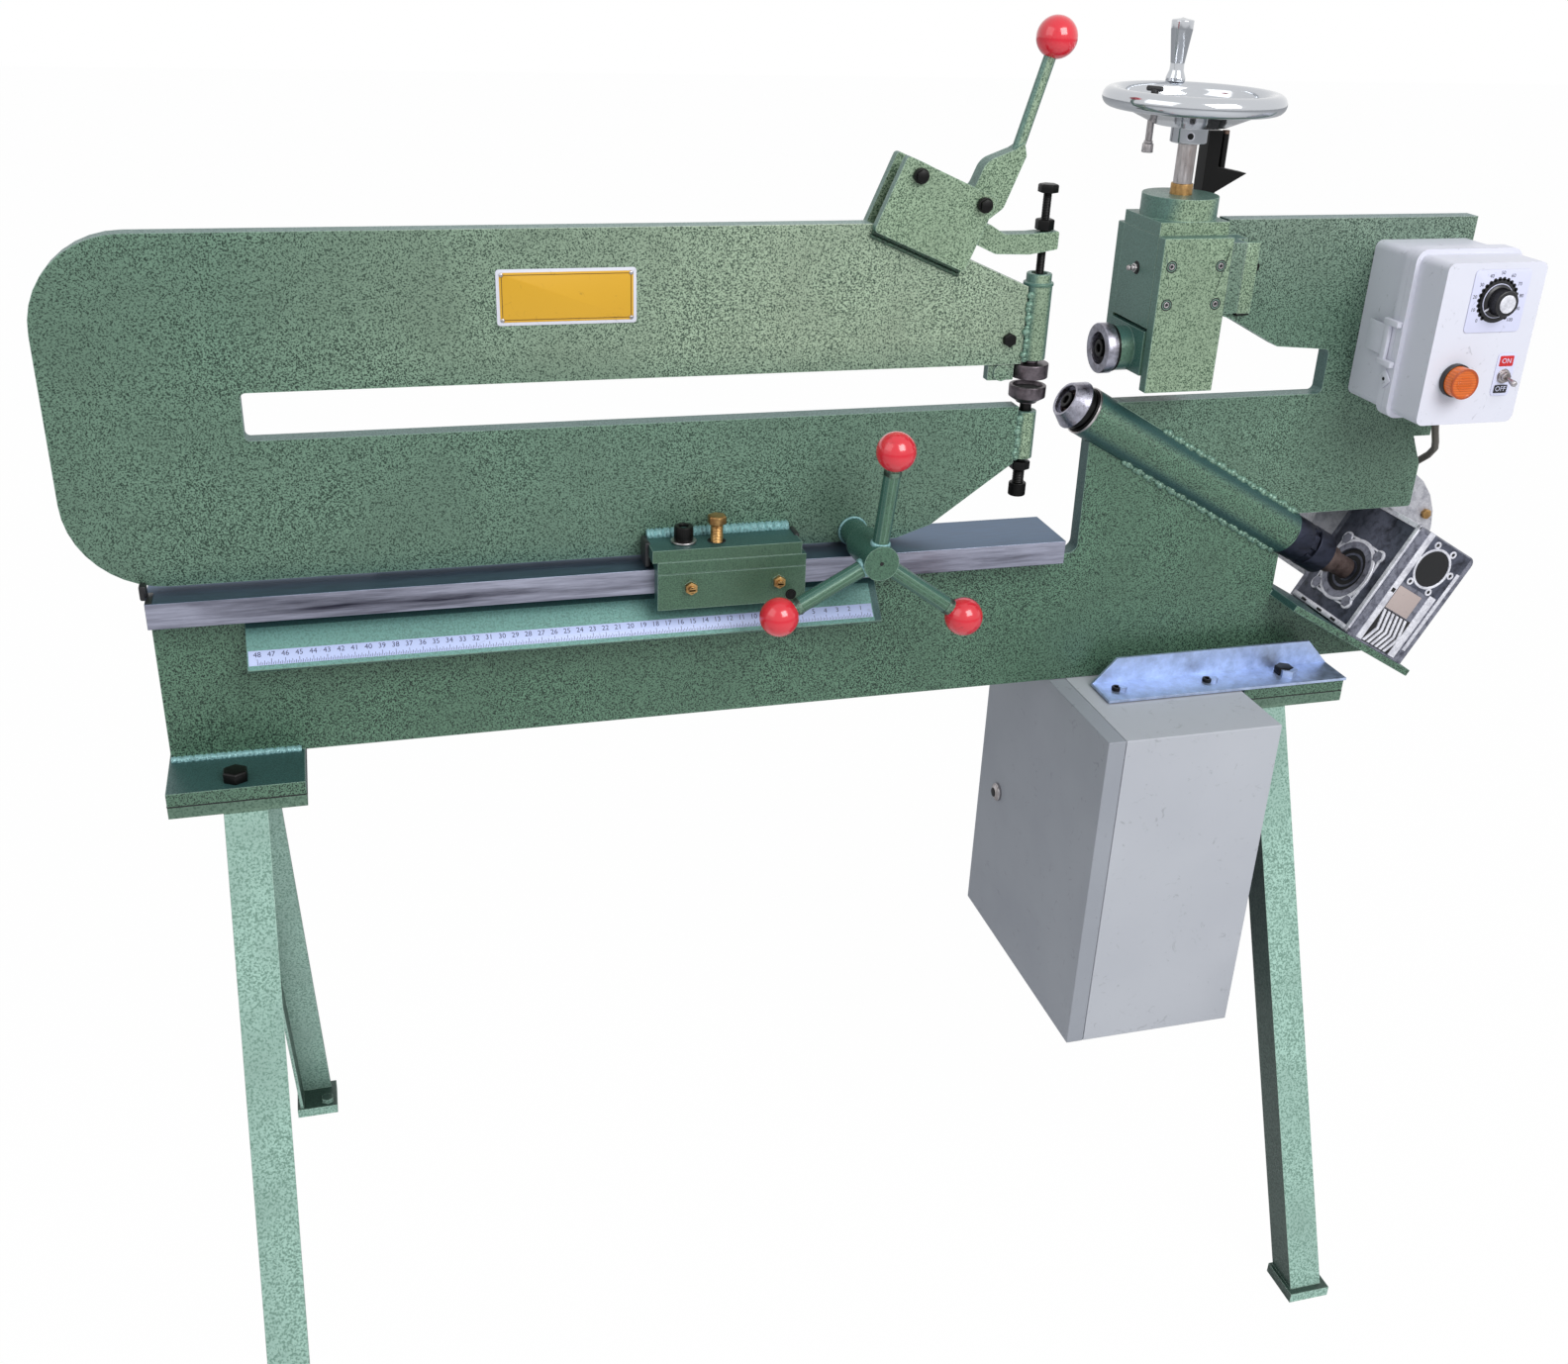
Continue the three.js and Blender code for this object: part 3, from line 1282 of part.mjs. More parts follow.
// Lead screw, dished handwheel, its turning handle and the spring-loaded index plunger
function buildScrew(stemTop) {
  const bossTop = headTop + seat + headCapHeight + headBossHeight;
  const hubLow = bossTop + screwRise;
  const hubTop = hubLow + hubHeight;
  const collarLow = stemTop + seat;
  place('lead_screw', finishes.bareSteel, join(
    rod(screwRadius, stemTop - screwCollarRadius + seat, hubTop + wheelWebThickness, mediumSides),
    rod(screwCollarRadius, collarLow, collarLow + screwCollarHeight, mediumSides),
  ).translate(headX, 0, 0));
  const dish = hubLow + hubHeight;
  const rimX = wheelRadius - wheelRimRadius;
  const rimZ = dish + wheelDish;
  const hubBore = screwRadius + running;
  const rim = [];
  for (let i = 0; i <= rimSteps; i += 1) {
    const turn = -Math.PI * rimStartShare + 2 * Math.PI * i / rimSteps * rimSweepShare;
    rim.push([rimX + wheelRimRadius * Math.cos(turn), rimZ + wheelRimRadius * Math.sin(turn)]);
  }
  const wheel = spun([
    [hubBore, hubLow],
    [hubRadius, hubLow],
    [hubRadius, dish],
    [wheelWebRadius, dish],
    ...rim,
    [wheelWebRadius, dish + wheelWebThickness],
    [hubBore, dish + wheelWebThickness],
    [hubBore, hubLow],
  ]);
  const handleX = headX + rimX * Math.cos(handleAngle * degree);
  const handleY = rimX * Math.sin(handleAngle * degree);
  const handleLow = rimZ + wheelRimRadius + seat;
  const studTop = handleLow + handleLength / 2;
  const stud = rod(handleStudRadius, rimZ, studTop, smallSides).translate(handleX, handleY, 0);
  const pinX = headX + plungerOffset * Math.cos(plungerAngle * degree);
  const pinY = plungerOffset * Math.sin(plungerAngle * degree);
  const hole = bore(plungerRadius + running, dish - overrun, rimZ);
  place('handwheel', finishes.polishedAluminium,
    cut(join(wheel.translate(headX, 0, 0), stud), hole.translate(pinX, pinY, 0)));
  const handle = cut(
    spun([
      [0, handleLow],
      [handleFootRadius, handleLow],
      [handleFootRadius, handleLow + handleLength / 4],
      [handleTopRadius, handleLow + handleLength - handleRound],
      [handleTopRadius - handleRound, handleLow + handleLength],
      [0, handleLow + handleLength],
    ], smallSides),
    bore(handleStudRadius + running, handleLow - overrun, studTop + seat),
  );
  place('handwheel_handle', finishes.polishedAluminium, handle.translate(handleX, handleY, 0));
  const pinLow = dish - plungerDrop;
  const pinTop = dish + wheelWebThickness + plungerRise;
  const bar = alongX(rod(plungerBarRadius, -plungerBarLength / 2, plungerBarLength / 2, smallSides / 2));
  place('index_plunger', finishes.bareSteel, join(
    rod(plungerRadius, pinLow, pinTop, smallSides),
    rod(plungerKnobRadius, pinLow, pinLow + plungerKnobLength, smallSides),
    bar.translate(0, 0, pinTop),
  ).translate(pinX, pinY, 0));
}

// Lower drive: tube, shaft, cutter and coupling, all on the sloping axis
function buildDrive() {
  place('lower_tube', finishes.hammertone, alongX(spun([
    [shaftRadius + running, tubeLow],
    [tubeRadius, tubeLow],
    [tubeRadius, tubeHigh],
    [shaftRadius + running, tubeHigh],
    [shaftRadius + running, tubeHigh - tubeBearingLength],
    [tubeBore, tubeHigh - tubeBearingLength],
    [tubeBore, tubeLow + tubeBearingLength],
    [shaftRadius + running, tubeLow + tubeBearingLength],
    [shaftRadius + running, tubeLow],
  ])), driveLine);
  const stub = lowerRecessRadius - cutterBoltRadius;
  const recess = lowerCutterFace + cutterRecessDepth;
  place('lower_cutter', finishes.toolSteel, alongX(spun([
    [stub + seat, recess],
    [lowerRecessRadius, recess],
    [lowerRecessRadius, lowerCutterFace],
    [lowerCutterFaceRadius, lowerCutterFace],
    [lowerCutterRadius, lowerCutterBack - cutterBevel],
    [lowerCutterRadius, lowerCutterBack],
    [stub + seat, lowerCutterBack],
    [stub + seat, recess],
  ])), driveLine);
  const boltLow = recess - cutterBoltHeight;
  const shaftEnd = outputFace + gearboxWidth - gearboxWall;
  place('drive_shaft', finishes.blackOxide, join(
    alongX(hexagon(cutterBoltRadius, boltLow, recess - seat)),
    alongX(rod(stub, boltLow + weld, lowerCutterBack + overrun, smallSides)),
    alongX(rod(lowerRingRadius, lowerCutterBack + seat, tubeLow - seat, mediumSides)),
    alongX(rod(shaftRadius, tubeLow - overrun, shaftEnd, mediumSides)),
  ), driveLine);
  const middle = (couplingLow + couplingHigh) / 2;
  const jaw = block(middle - couplingJawWidth / 2, middle + couplingJawWidth / 2,
    -couplingJawWidth, couplingJawWidth, couplingSleeveRadius, couplingRadius + overrun);
  const jaws = [0, 1, 2].map((i) => jaw.clone().rotateX(2 * Math.PI * i / 3));
  place('shaft_coupling', finishes.blackOxide, cut(alongX(spun([
    [shaftRadius + seat, couplingLow],
    [couplingRadius, couplingLow],
    [couplingRadius, couplingHigh],
    [shaftRadius + seat, couplingHigh],
    [shaftRadius + seat, couplingLow],
  ], mediumSides)), ...jaws), driveLine);
}

// Worm gearbox: a hollow casting with a bronze wheel on the drive shaft and a worm above it
const gearCentre = outputFace + gearboxWidth / 2;

function onWorm(geometry) {
  return alongY(geometry).translate(gearCentre, 0, wormOffset);
}

function buildGearbox() {
  const far = outputFace + gearboxWidth;
  const half = gearboxDepth / 2;
  const body = sidePlate([
    [-half, -gearboxFoot],
    [half, -gearboxFoot],
    [half, gearboxTop, gearboxWall],
    [-half, gearboxTop, gearboxWall],
  ], outputFace, gearboxWidth);
  const ring = alongX(rod(outputRingRadius, outputFace - outputRingProud, outputFace + weld));
  const lugs = [45, 135, 225, 315].map((angle) => alongX(
    rod(outputLugRadius, outputFace - outputRingProud, outputFace + weld, smallSides / 2),
  ).translate(0, outputLugCircle * Math.cos(angle * degree), outputLugCircle * Math.sin(angle * degree)));
  const cavity = block(outputFace + gearboxWall, far - gearboxWall, -half + gearboxWall, half - gearboxWall,
    -gearRootRadius - gearboxWall, wormOffset + wormBore);
  const near = outputFace - outputRingProud - overrun;
  const hubBore = alongX(bore(gearHubRadius + running, near, far + overrun, roundSides));
  const faceRing = alongX(rod(outputBoreRadius, near, outputFace + outputRingWall));
  const wormHole = onWorm(bore(wormShaftRadius + running, -half + gearboxWall / 2, half + overrun));
  const capSeat = onWorm(rod(wormCapRadius, -half - overrun, -half + wormCapRecess, roundSides));
  const relief = block(outputFace - overrun, far + overrun, -gearboxFootRelief, gearboxFootRelief,
    -gearboxFoot - overrun, -gearboxFoot + gearboxFootGap);
  place('gearbox_housing', finishes.castAluminium,
    cut(join(body, ring, ...lugs), cavity, hubBore, faceRing, wormHole, capSeat, relief),
    driveLine);
  const teeth = [];
  for (let i = 0; i < gearTeeth; i += 1) {
    const turn = 2 * Math.PI * i / gearTeeth + Math.PI / 2;
    const tipHalf = gearToothShare * Math.PI / gearTeeth;
    const rootHalf = gearRootShare * Math.PI / gearTeeth;
    const flank = [
      [gearRootRadius, -rootHalf],
      [gearTipRadius, -tipHalf],
      [gearTipRadius, tipHalf],
      [gearRootRadius, rootHalf],
    ];
    flank.forEach(([radius, shift]) => {
      teeth.push([radius * Math.cos(turn + shift), radius * Math.sin(turn + shift)]);
    });
  }
  const hubLow = outputFace + outputRingWall / 2;
  const wheel = cut(
    join(
      sidePlate(teeth, gearCentre - gearFace / 2, gearFace),
      alongX(rod(gearHubRadius, hubLow, far - outputRingWall / 2, mediumSides)),
    ),
    alongX(bore(shaftRadius + seat, outputFace - overrun, far + overrun)),
  );
  place('worm_wheel', finishes.bronze, wheel, driveLine);
  buildWorm();
}

// Single-start worm: a ribbon of trapezoid sections swept up a helix, on a plain shaft
function buildWorm() {
  const pitch = Math.PI * gearModule;
  const turns = wormThreadLength / pitch;
  const steps = Math.round(turns * wormSteps);
  const root = wormRootRadius - weld;
  const tipHalf = wormThreadWidth / 2 * gearToothShare * 2;
  const section = [
    [root, -wormThreadWidth / 2],
    [wormTipRadius, -tipHalf],
    [wormTipRadius, tipHalf],
    [root, wormThreadWidth / 2],
  ];
  const places = [];
  const faces = [];
  for (let i = 0; i <= steps; i += 1) {
    const turn = 2 * Math.PI * turns * (i / steps - 1 / 2);
    const rise = pitch * turn / (2 * Math.PI) + pitch * wormPhaseShare;
    section.forEach(([radius, shift]) => places.push(
      radius * Math.cos(turn), radius * Math.sin(turn), rise + shift,
    ));
  }
  const quad = (a, b, c, d) => faces.push(a, b, c, a, c, d);
  quad(0, 1, 2, 3);
  for (let i = 0; i < steps; i += 1) {
    const [here, next] = [4 * i, 4 * i + 4];
    for (let j = 0; j < 4; j += 1) {
      const k = (j + 1) % 4;
      quad(here + k, here + j, next + j, next + k);
    }
  }
  const last = 4 * steps;
  quad(last + 3, last + 2, last + 1, last);
  const thread = new THREE.BufferGeometry();
  thread.setAttribute('position', new THREE.Float32BufferAttribute(places, 3));
  thread.setIndex(faces);
  const half = gearboxDepth / 2;
  const shaftLow = -half + gearboxWall / 2 + seat;
  const shaftHigh = half + motorFlangeThickness + motorShaftDepth;
  place('worm_shaft', finishes.bareSteel, onWorm(join(
    rod(wormRootRadius, -wormThreadLength / 2 - wormTipRadius, wormThreadLength / 2 + wormTipRadius,
      mediumSides),
    rod(wormShaftRadius, shaftLow, shaftHigh, smallSides),
    thread,
  )), driveLine);
}

// Flange-mounted motor behind the gearbox, with its terminal box
function buildMotor() {
  const front = gearboxDepth / 2 + seat;
  const bodyLow = front + motorFlangeThickness;
  const bodyHigh = bodyLow + motorLength;
  const barrel = spun([
    [0, front],
    [motorFlangeRadius, front],
    [motorFlangeRadius, bodyLow],
    [motorRadius, bodyLow + weld],
    [motorRadius, bodyHigh],
    [motorEndRadius, bodyHigh + motorEndLength],
    [0, bodyHigh + motorEndLength],
  ], roundSides);
  const shaftHole = bore(wormShaftRadius + running, front - overrun, bodyLow + motorShaftDepth + running);
  const terminal = block(
    gearCentre - motorBoxWidth / 2, gearCentre + motorBoxWidth / 2,
    bodyLow + motorBoxSetback, bodyLow + motorBoxSetback + motorBoxLength,
    wormOffset + motorRadius - motorEndLength / 4, wormOffset + motorRadius + motorBoxHeight,
  );
  place('motor', finishes.castAluminium, cut(join(onWorm(barrel), terminal), onWorm(shaftHole)), driveLine);
}

// Control box: a case on the head plate and a hinged lid with a lip where they meet
const caseBack = -halfPlate - seat;
const caseFront = caseBack - controlCaseDepth;
const lidBack = caseFront - seat;
const lidFront = lidBack - controlLidDepth;
const controlLow = baseBottom + controlBottom;
const controlRight = controlLeft + controlWidth;
const controlTop = controlLow + controlHeight;

function boxShell(front, back, open, lipFront, lipBack) {
  const grown = rectangle(controlLeft - controlLip, controlRight + controlLip,
    controlLow - controlLip, controlTop + controlLip, controlCorner + controlLip);
  const plain = rectangle(controlLeft, controlRight, controlLow, controlTop, controlCorner);
  const inner = block(controlLeft + controlWall, controlRight - controlWall,
    open < 0 ? front - overrun : front + controlWall, open < 0 ? back - controlWall : back + overrun,
    controlLow + controlWall, controlTop - controlWall);
  return cut(join(
    uprightPlate(plain, front, back - front),
    uprightPlate(grown, lipFront, lipBack - lipFront),
  ), inner);
}

function buildControlBox() {
  place('control_box', finishes.whitePlastic,
    boxShell(caseFront, caseBack, -1, caseFront, caseFront + controlLipDepth));
  place('control_lid', finishes.whitePlastic,
    boxShell(lidFront, lidBack, 1, lidBack - controlLipDepth, lidBack));
  const latchFront = caseFront + controlLipDepth + seat;
  const latchTop = controlTop - latchDrop;
  const latchX = controlLeft - seat;
  place('lid_latch', finishes.whitePlastic,
    block(latchX - latchWidth, latchX, latchFront, latchFront + latchDepth,
      latchTop - latchHeight, latchTop));
  const face = lidFront - seat;
  const dial = join(
    alongY(rod(knobSkirtRadius, -knobSkirtLength, 0, mediumSides)),
    alongY(rod(knobRadius, -knobLength, -knobSkirtLength + weld, smallSides)),
    alongY(rod(knobCapRadius, -knobLength - weld, -knobLength + weld, smallSides)),
  );
  place('speed_knob', finishes.blackPlastic,
    dial.translate(controlLeft + knobX, face, controlLow + knobHeight));
  const lamp = alongY(spun([
    [0, -lampLength],
    [lampRadius * lampCrownShare, -lampLength],
    [lampRadius, -lampLength / 2],
    [lampRadius, 0],
    [0, 0],
  ], mediumSides));
  place('pilot_lamp', finishes.amberPlastic,
    lamp.translate(controlLeft + lampX, face, controlLow + lampHeight));
  const lever = join(
    rod(toggleRadius, 0, toggleLength, smallSides / 2),
    new THREE.SphereGeometry(toggleBallRadius, smallSides / 2, smallSides / 2).translate(0, 0, toggleLength),
  );
  lever.rotateX((90 + toggleTilt) * degree);
  const sinkRoom = toggleRadius * Math.sin(toggleTilt * degree) + seat;
  place('toggle_lever', finishes.bareSteel,
    lever.translate(controlLeft + toggleX, face - sinkRoom, controlLow + toggleHeight));
}

// Steel enclosure under the beam: an open-sided body, a folded door and its lock
function buildEnclosure() {
  const top = baseBottom - seat;
  const low = top - enclosureHeight;
  const back = enclosureFront + enclosureDepth;
  const right = enclosureLeft + enclosureWidth;
  const body = block(enclosureLeft, right, enclosureFront, back, low, top);
  const inside = block(enclosureLeft - overrun, right - enclosureWall, enclosureFront + enclosureWall,
    back - enclosureWall, low + enclosureWall, top - enclosureWall);
  place('enclosure_body', finishes.greyPaint, cut(body, inside));
  const doorBack = enclosureLeft - seat;
  const doorFront = doorBack - doorThickness;
  const door = cut(
    block(doorFront, doorBack, enclosureFront, back, low, top),
    block(doorFront + doorFold, doorBack + overrun, enclosureFront + doorFold, back - doorFold,
      low + doorFold, top - doorFold),
  );
  place('enclosure_door', finishes.greyPaint, door);
  const lock = alongX(rod(lockRadius, -lockLength, 0, smallSides));
  place('door_lock', finishes.bareSteel,
    lock.translate(doorFront - seat, enclosureFront + lockBack, top - lockDrop));
  buildHanger(right);
}

// Zinc-plated angle that ties the enclosure to the right flange
function buildHanger(enclosureRight) {
  const low = flangeTop + seat;
  const back = hangerFront + hangerDepth;
  const flat = block(hangerLeft, hangerRight, hangerFront, back, low, low + hangerGauge);
  const upright = uprightPlate([
    [hangerLeft, low],
    [hangerRight, low],
    [hangerRight, low + hangerGauge],
    [hangerRight - hangerEndCut, low + hangerHeight],
    [hangerLeft + hangerEndCut, low + hangerHeight],
    [hangerLeft, low + hangerGauge],
  ], back - hangerGauge, hangerGauge);
  const middle = (hangerFront + back - hangerGauge) / 2;
  const screws = [hangerLeft + hangerScrewInset, enclosureRight - hangerScrewInset].map(
    (x) => hexagon(hangerScrewRadius, low, low + hangerGauge + hangerScrewRadius).translate(x, middle, 0),
  );
  const bolt = hexagon(hangerBoltRadius, low, low + hangerGauge + hangerBoltHeight)
    .translate(rightFlangeX + flangeLength / 2, middle, 0);
  place('hanger_angle', finishes.zinc, join(flat, upright, ...screws, bolt));
}

// Lead from the control box round the plates and down behind the beam into the enclosure
function buildLead() {
  const exit = [controlLeft + leadExitX, -leadExitDepth, controlLow - seat];
  const entry = [enclosureLeft + enclosureWidth + seat, leadEntryDepth, baseBottom - leadEntryDrop];
  const edge = [entry[0], flangeDepth / 2, entry[2]];
  const turns = (list, from) => list.map(([x, y, z]) => new THREE.Vector3(x, y, z)
    .multiplyScalar(leadRadius).add(new THREE.Vector3(...from)));
  const route = [...turns(leadRun, exit), ...turns(leadPast, edge), ...turns(leadHome, entry)];
  const path = new THREE.CatmullRomCurve3(route, false, 'centripetal');
  const section = new THREE.Shape();
  section.absarc(0, 0, leadRadius, 0, 2 * Math.PI, false);
  const lead = new THREE.ExtrudeGeometry(section, {
    steps: leadSteps, extrudePath: path, curveSegments: leadSides, bevelEnabled: false,
  });
  place('power_lead', finishes.blackPlastic, lead);
}

buildBase();
buildHeadPlate();
buildStand('left_stand', leftFlangeX, leftLegX, leftFrontLean, leftRearLean);
buildStand('right_stand', rightFlangeX, rightLegX, rightFrontLean, rightRearLean);
buildRail();
buildRack();
buildCPlate();
buildCarriage();
buildCapstan();
buildCheeks();
buildClampArm();
buildAdjuster();
buildCamLever();
buildQuill();
buildHead();
buildScrew(buildSlide());
buildDrive();
buildGearbox();
buildMotor();
buildControlBox();
buildEnclosure();
buildLead();

// The origin is the middle of the machine's outline on the floor
const extent = new THREE.Box3().setFromObject(machine, true);
machine.position.set(-(extent.min.x + extent.max.x) / 2, -(extent.min.y + extent.max.y) / 2, -extent.min.z);

export default machine;
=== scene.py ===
"""Looks of a power circle shear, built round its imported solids.

Sizes are millimetres in the machine's own drawing frame: X from the rail's left end, Y from the
plates' middle plane, away from the operator, and Z from the floor. Finished meshes are in metres.
"""
import logging
import math
from dataclasses import dataclass, field
from enum import Enum
from typing import Callable, Iterable, Iterator, Sequence

import bmesh
import bpy
from mathutils import Matrix, Vector


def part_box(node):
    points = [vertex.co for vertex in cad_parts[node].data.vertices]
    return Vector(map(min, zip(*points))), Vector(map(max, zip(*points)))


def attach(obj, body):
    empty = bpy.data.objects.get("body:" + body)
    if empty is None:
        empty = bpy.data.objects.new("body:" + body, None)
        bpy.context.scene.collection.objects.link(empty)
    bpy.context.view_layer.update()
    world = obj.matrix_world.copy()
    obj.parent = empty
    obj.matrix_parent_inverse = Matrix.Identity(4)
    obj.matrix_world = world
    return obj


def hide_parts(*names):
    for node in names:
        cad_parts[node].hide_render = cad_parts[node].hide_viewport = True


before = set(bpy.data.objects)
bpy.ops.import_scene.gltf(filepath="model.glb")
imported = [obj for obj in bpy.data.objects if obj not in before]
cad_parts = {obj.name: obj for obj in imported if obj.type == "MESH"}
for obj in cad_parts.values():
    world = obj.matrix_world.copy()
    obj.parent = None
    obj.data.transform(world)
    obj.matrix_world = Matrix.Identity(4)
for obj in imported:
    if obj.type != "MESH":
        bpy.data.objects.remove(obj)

Mesh = bmesh.types.BMesh
Socket = bpy.types.NodeSocket
Tone = tuple[float, float, float]
Span = tuple[float, float]
Profile = Sequence[tuple[float, ...]]
Values = dict[str | int, object]
Sockets = bpy.types.NodeOutputs

log = logging.getLogger("circle_shear")
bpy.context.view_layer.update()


def at(x: float, y: float, z: float) -> Matrix:
    """Return a move to a place in the drawing frame."""
    return Matrix.Translation((x, y, z))


def spin(angle: float, axis: str = "Z") -> Matrix:
    """Return a turn in degrees about an axis."""
    return Matrix.Rotation(math.radians(angle), 4, axis)


MIDDLE_X = 693.9118
TO_FRAME = at(-MIDDLE_X / 1000, 0, 0) @ Matrix.Scale(0.001, 4)
DRIVE = at(1182, 0, 866.6) @ spin(29.73, "Y")
CLAMP = at(686.6, 0, 1196.72) @ spin(23, "Y")
ALONG_X = spin(90, "Y")
ALONG_Y = spin(-90, "X")
# Radius of the bevel mask that finds edges for a painted highlight.
HIGHLIGHT_EDGE_RADIUS = 0.0012
SPECK_SCALE = 70.0
QUARTERS = (45, 135, 225, 315)


class Body(Enum):
    """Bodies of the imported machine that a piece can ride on."""

    FRAME = "frame"
    C_FRAME = "c_frame"
    CAPSTAN = "capstan"
    LOCK_BOLT = "lock_bolt"
    CAM_LEVER = "cam_lever"
    ADJUSTER = "adjusting_bolt"
    UPPER_DISC = "upper_clamp_disc"
    JACK = "jack_screw"
    LOWER_DISC = "lower_clamp_disc"
    WHEEL = "handwheel"
    HANDLE = "handwheel_handle"
    PLUNGER = "index_plunger"
    UPPER_CUTTER = "upper_cutter"
    DRIVE_LINE = "drive"
    LID = "control_lid"
    KNOB = "speed_knob"
    TOGGLE = "toggle_lever"
    LATCH = "lid_latch"
    LOCK = "door_lock"


class Slot(Enum):
    """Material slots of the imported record."""

    HAMMERTONE = "hammertone"
    HAMMERTONE_PALE = "hammertone_pale"
    BARE_STEEL = "bare_steel"
    BLACK_OXIDE = "black_oxide"
    TOOL_STEEL = "tool_steel"
    POLISHED = "polished_aluminium"
    CASTING = "cast_aluminium"
    BRASS = "brass"
    RED = "red_plastic"
    WHITE = "white_plastic"
    BLACK = "black_plastic"
    AMBER = "amber_plastic"


def linear(tone: Tone, share: float = 1.0) -> tuple[float, float, float, float]:
    """Turn a display colour into the linear colour that shaders read.

    Args:
        tone: Red, green and blue, each 0 to 255.
        share: Scales all three first.

    Returns:
        The linear colour with an alpha of 1.
    """
    parts = [share * value / 255 for value in tone]
    made = [p / 12.92 if p <= 0.04045 else ((p + 0.055) / 1.055) ** 2.4 for p in parts]
    return (made[0], made[1], made[2], 1.0)


class Tree:
    """A node tree in the making."""

    def __init__(self, tree: bpy.types.NodeTree) -> None:
        """Keep the tree that nodes are added to."""
        self.tree = tree

    @classmethod
    def blank(cls, owner: bpy.types.Material | bpy.types.World) -> "Tree":
        """Switch on a material's or world's nodes and empty them."""
        owner.use_nodes = True
        owner.node_tree.nodes.clear()
        return cls(owner.node_tree)

    def node(self, kind: str, values: Values | None = None, **settings: object) -> bpy.types.Node:
        """Add a node.

        Args:
            kind: The node's type name, without its leading ShaderNode.
            values: What its inputs get: another node's socket or a fixed value.
            settings: Its own attributes.

        Returns:
            The new node.
        """
        made = self.tree.nodes.new("ShaderNode" + kind)
        for key, value in settings.items():
            setattr(made, key, value)
        for key, value in (values or {}).items():
            if isinstance(value, Socket):
                self.tree.links.new(value, made.inputs[key])
            else:
                made.inputs[key].default_value = value
        return made

    def maths(self, operation: str, *values: object) -> Socket:
        """Calculate with sockets and numbers."""
        return self.node("Math", dict(enumerate(values)), operation=operation).outputs[0]

    def remap(self, value: Socket, low: float, high: float, to_low: float = 0.0,
              to_high: float = 1.0) -> Socket:
        """Stretch a number from one span to another."""
        return self.node("MapRange", {"Value": value, "From Min": low, "From Max": high, "To Min": to_low,
                                      "To Max": to_high}).outputs[0]

    def noise(self, place: Socket, scale: object, detail: float, rough: float = 0.5,
              bent: float = 0.0) -> Socket:
        """Add a noise pattern."""
        return self.node("TexNoise", {"Vector": place, "Scale": scale, "Detail": detail, "Roughness": rough,
                                      "Distortion": bent}).outputs["Fac"]

    def ramp(self, factor: Socket, *stops: Span) -> Socket:
        """Turn a factor into greys between two stops of place and grey."""
        made = self.node("ValToRGB", {0: factor})
        for element, (place, grey) in zip(made.color_ramp.elements, stops):
            element.position = place
            element.color = (grey, grey, grey, 1)
        return made.outputs[0]

    def blend(self, factor: object, first: object, second: object, mode: str = "MIX") -> Socket:
        """Mix two colours, each of which is a socket or a colour."""
        made = self.node("Mix", {0: factor, 6: first, 7: second}, data_type="RGBA", blend_type=mode)
        return made.outputs[2]

    def bump(self, height: Socket, strength: float, distance: float) -> Socket:
        """Let a height pattern, with a depth in metres, tilt the surface."""
        made = self.node("Bump", {"Height": height, "Strength": strength, "Distance": distance})
        return made.outputs["Normal"]

    def use(self, effect: "Effect", **values: object) -> Sockets:
        """Add a shared effect and return its outputs."""
        return self.node("Group", values, node_tree=effect.group()).outputs


@dataclass(frozen=True)
class Effect:
    """A node group that several materials share."""

    name: str
    vectors: tuple[str, ...]
    numbers: tuple[str, ...]
    outputs: tuple[str, ...]
    fill: Callable[[Tree, Sockets], Sequence[Socket]]

    def group(self) -> bpy.types.NodeTree:
        """Return the effect's node group, made on first use."""
        known = bpy.data.node_groups.get(self.name)
        if known:
            return known
        made = bpy.data.node_groups.new(self.name, "ShaderNodeTree")
        for keys, way, kind in ((self.vectors, "INPUT", "Vector"), (self.numbers, "INPUT", "Float"),
                                (self.outputs, "OUTPUT", "Float")):
            for key in keys:
                made.interface.new_socket(key, in_out=way, socket_type="NodeSocket" + kind)
        start = made.nodes.new("NodeGroupInput")
        end = made.nodes.new("NodeGroupOutput")
        for key, socket in zip(self.outputs, self.fill(Tree(made), start.outputs)):
            made.links.new(socket, end.inputs[key])
        return made


def fill_hammer(tree: Tree, given: Sockets) -> Sequence[Socket]:
    """Hammered enamel: dark pits between drops, in patches of changing depth."""
    place, scale = given["Vector"], given["Scale"]
    drops = tree.noise(place, scale, 3.0, 0.7, 0.5)
    cells = tree.node("TexVoronoi", {"Vector": place, "Scale": scale, "Randomness": 1.0}, feature="SMOOTH_F1")
    height = tree.maths("MULTIPLY_ADD", cells.outputs["Distance"], 0.3, drops)
    patch = tree.remap(tree.noise(place, 9.0, 3.0), 0.36, 0.64)
    return tree.remap(tree.maths("MULTIPLY_ADD", patch, 0.05, height), 0.555, 0.695), height, patch


def fill_facing(tree: Tree, given: Sockets) -> Sequence[Socket]:
    """Tell faces that look forward or back from the others, and find edges for a painted highlight."""
    normal = tree.node("SeparateXYZ", {0: tree.node("TexCoord").outputs["Normal"]})
    facing = tree.remap(tree.maths("ABSOLUTE", normal.outputs["Y"]), 0.72, 0.93)
    softened = tree.node("Bevel", {"Radius": given["Radius"]}, samples=4)
    plain = tree.node("NewGeometry").outputs["True Normal"]
    match = tree.node("VectorMath", {0: softened.outputs[0], 1: plain}, operation="DOT_PRODUCT")
    return facing, tree.remap(match.outputs["Value"], 0.985, 0.90)


def fill_grain(tree: Tree, given: Sockets) -> Sequence[Socket]:
    """Fine parallel tool marks and small cloudy stains."""
    place = tree.node("Mapping", {"Vector": given["Vector"], "Scale": given["Stretch"]}).outputs[0]
    stain = tree.noise(place, given["Cloud"], 6.0, 0.62, 0.3)
    return tree.noise(place, given["Scale"], 5.0, 0.7), tree.remap(stain, 0.44, 0.72)


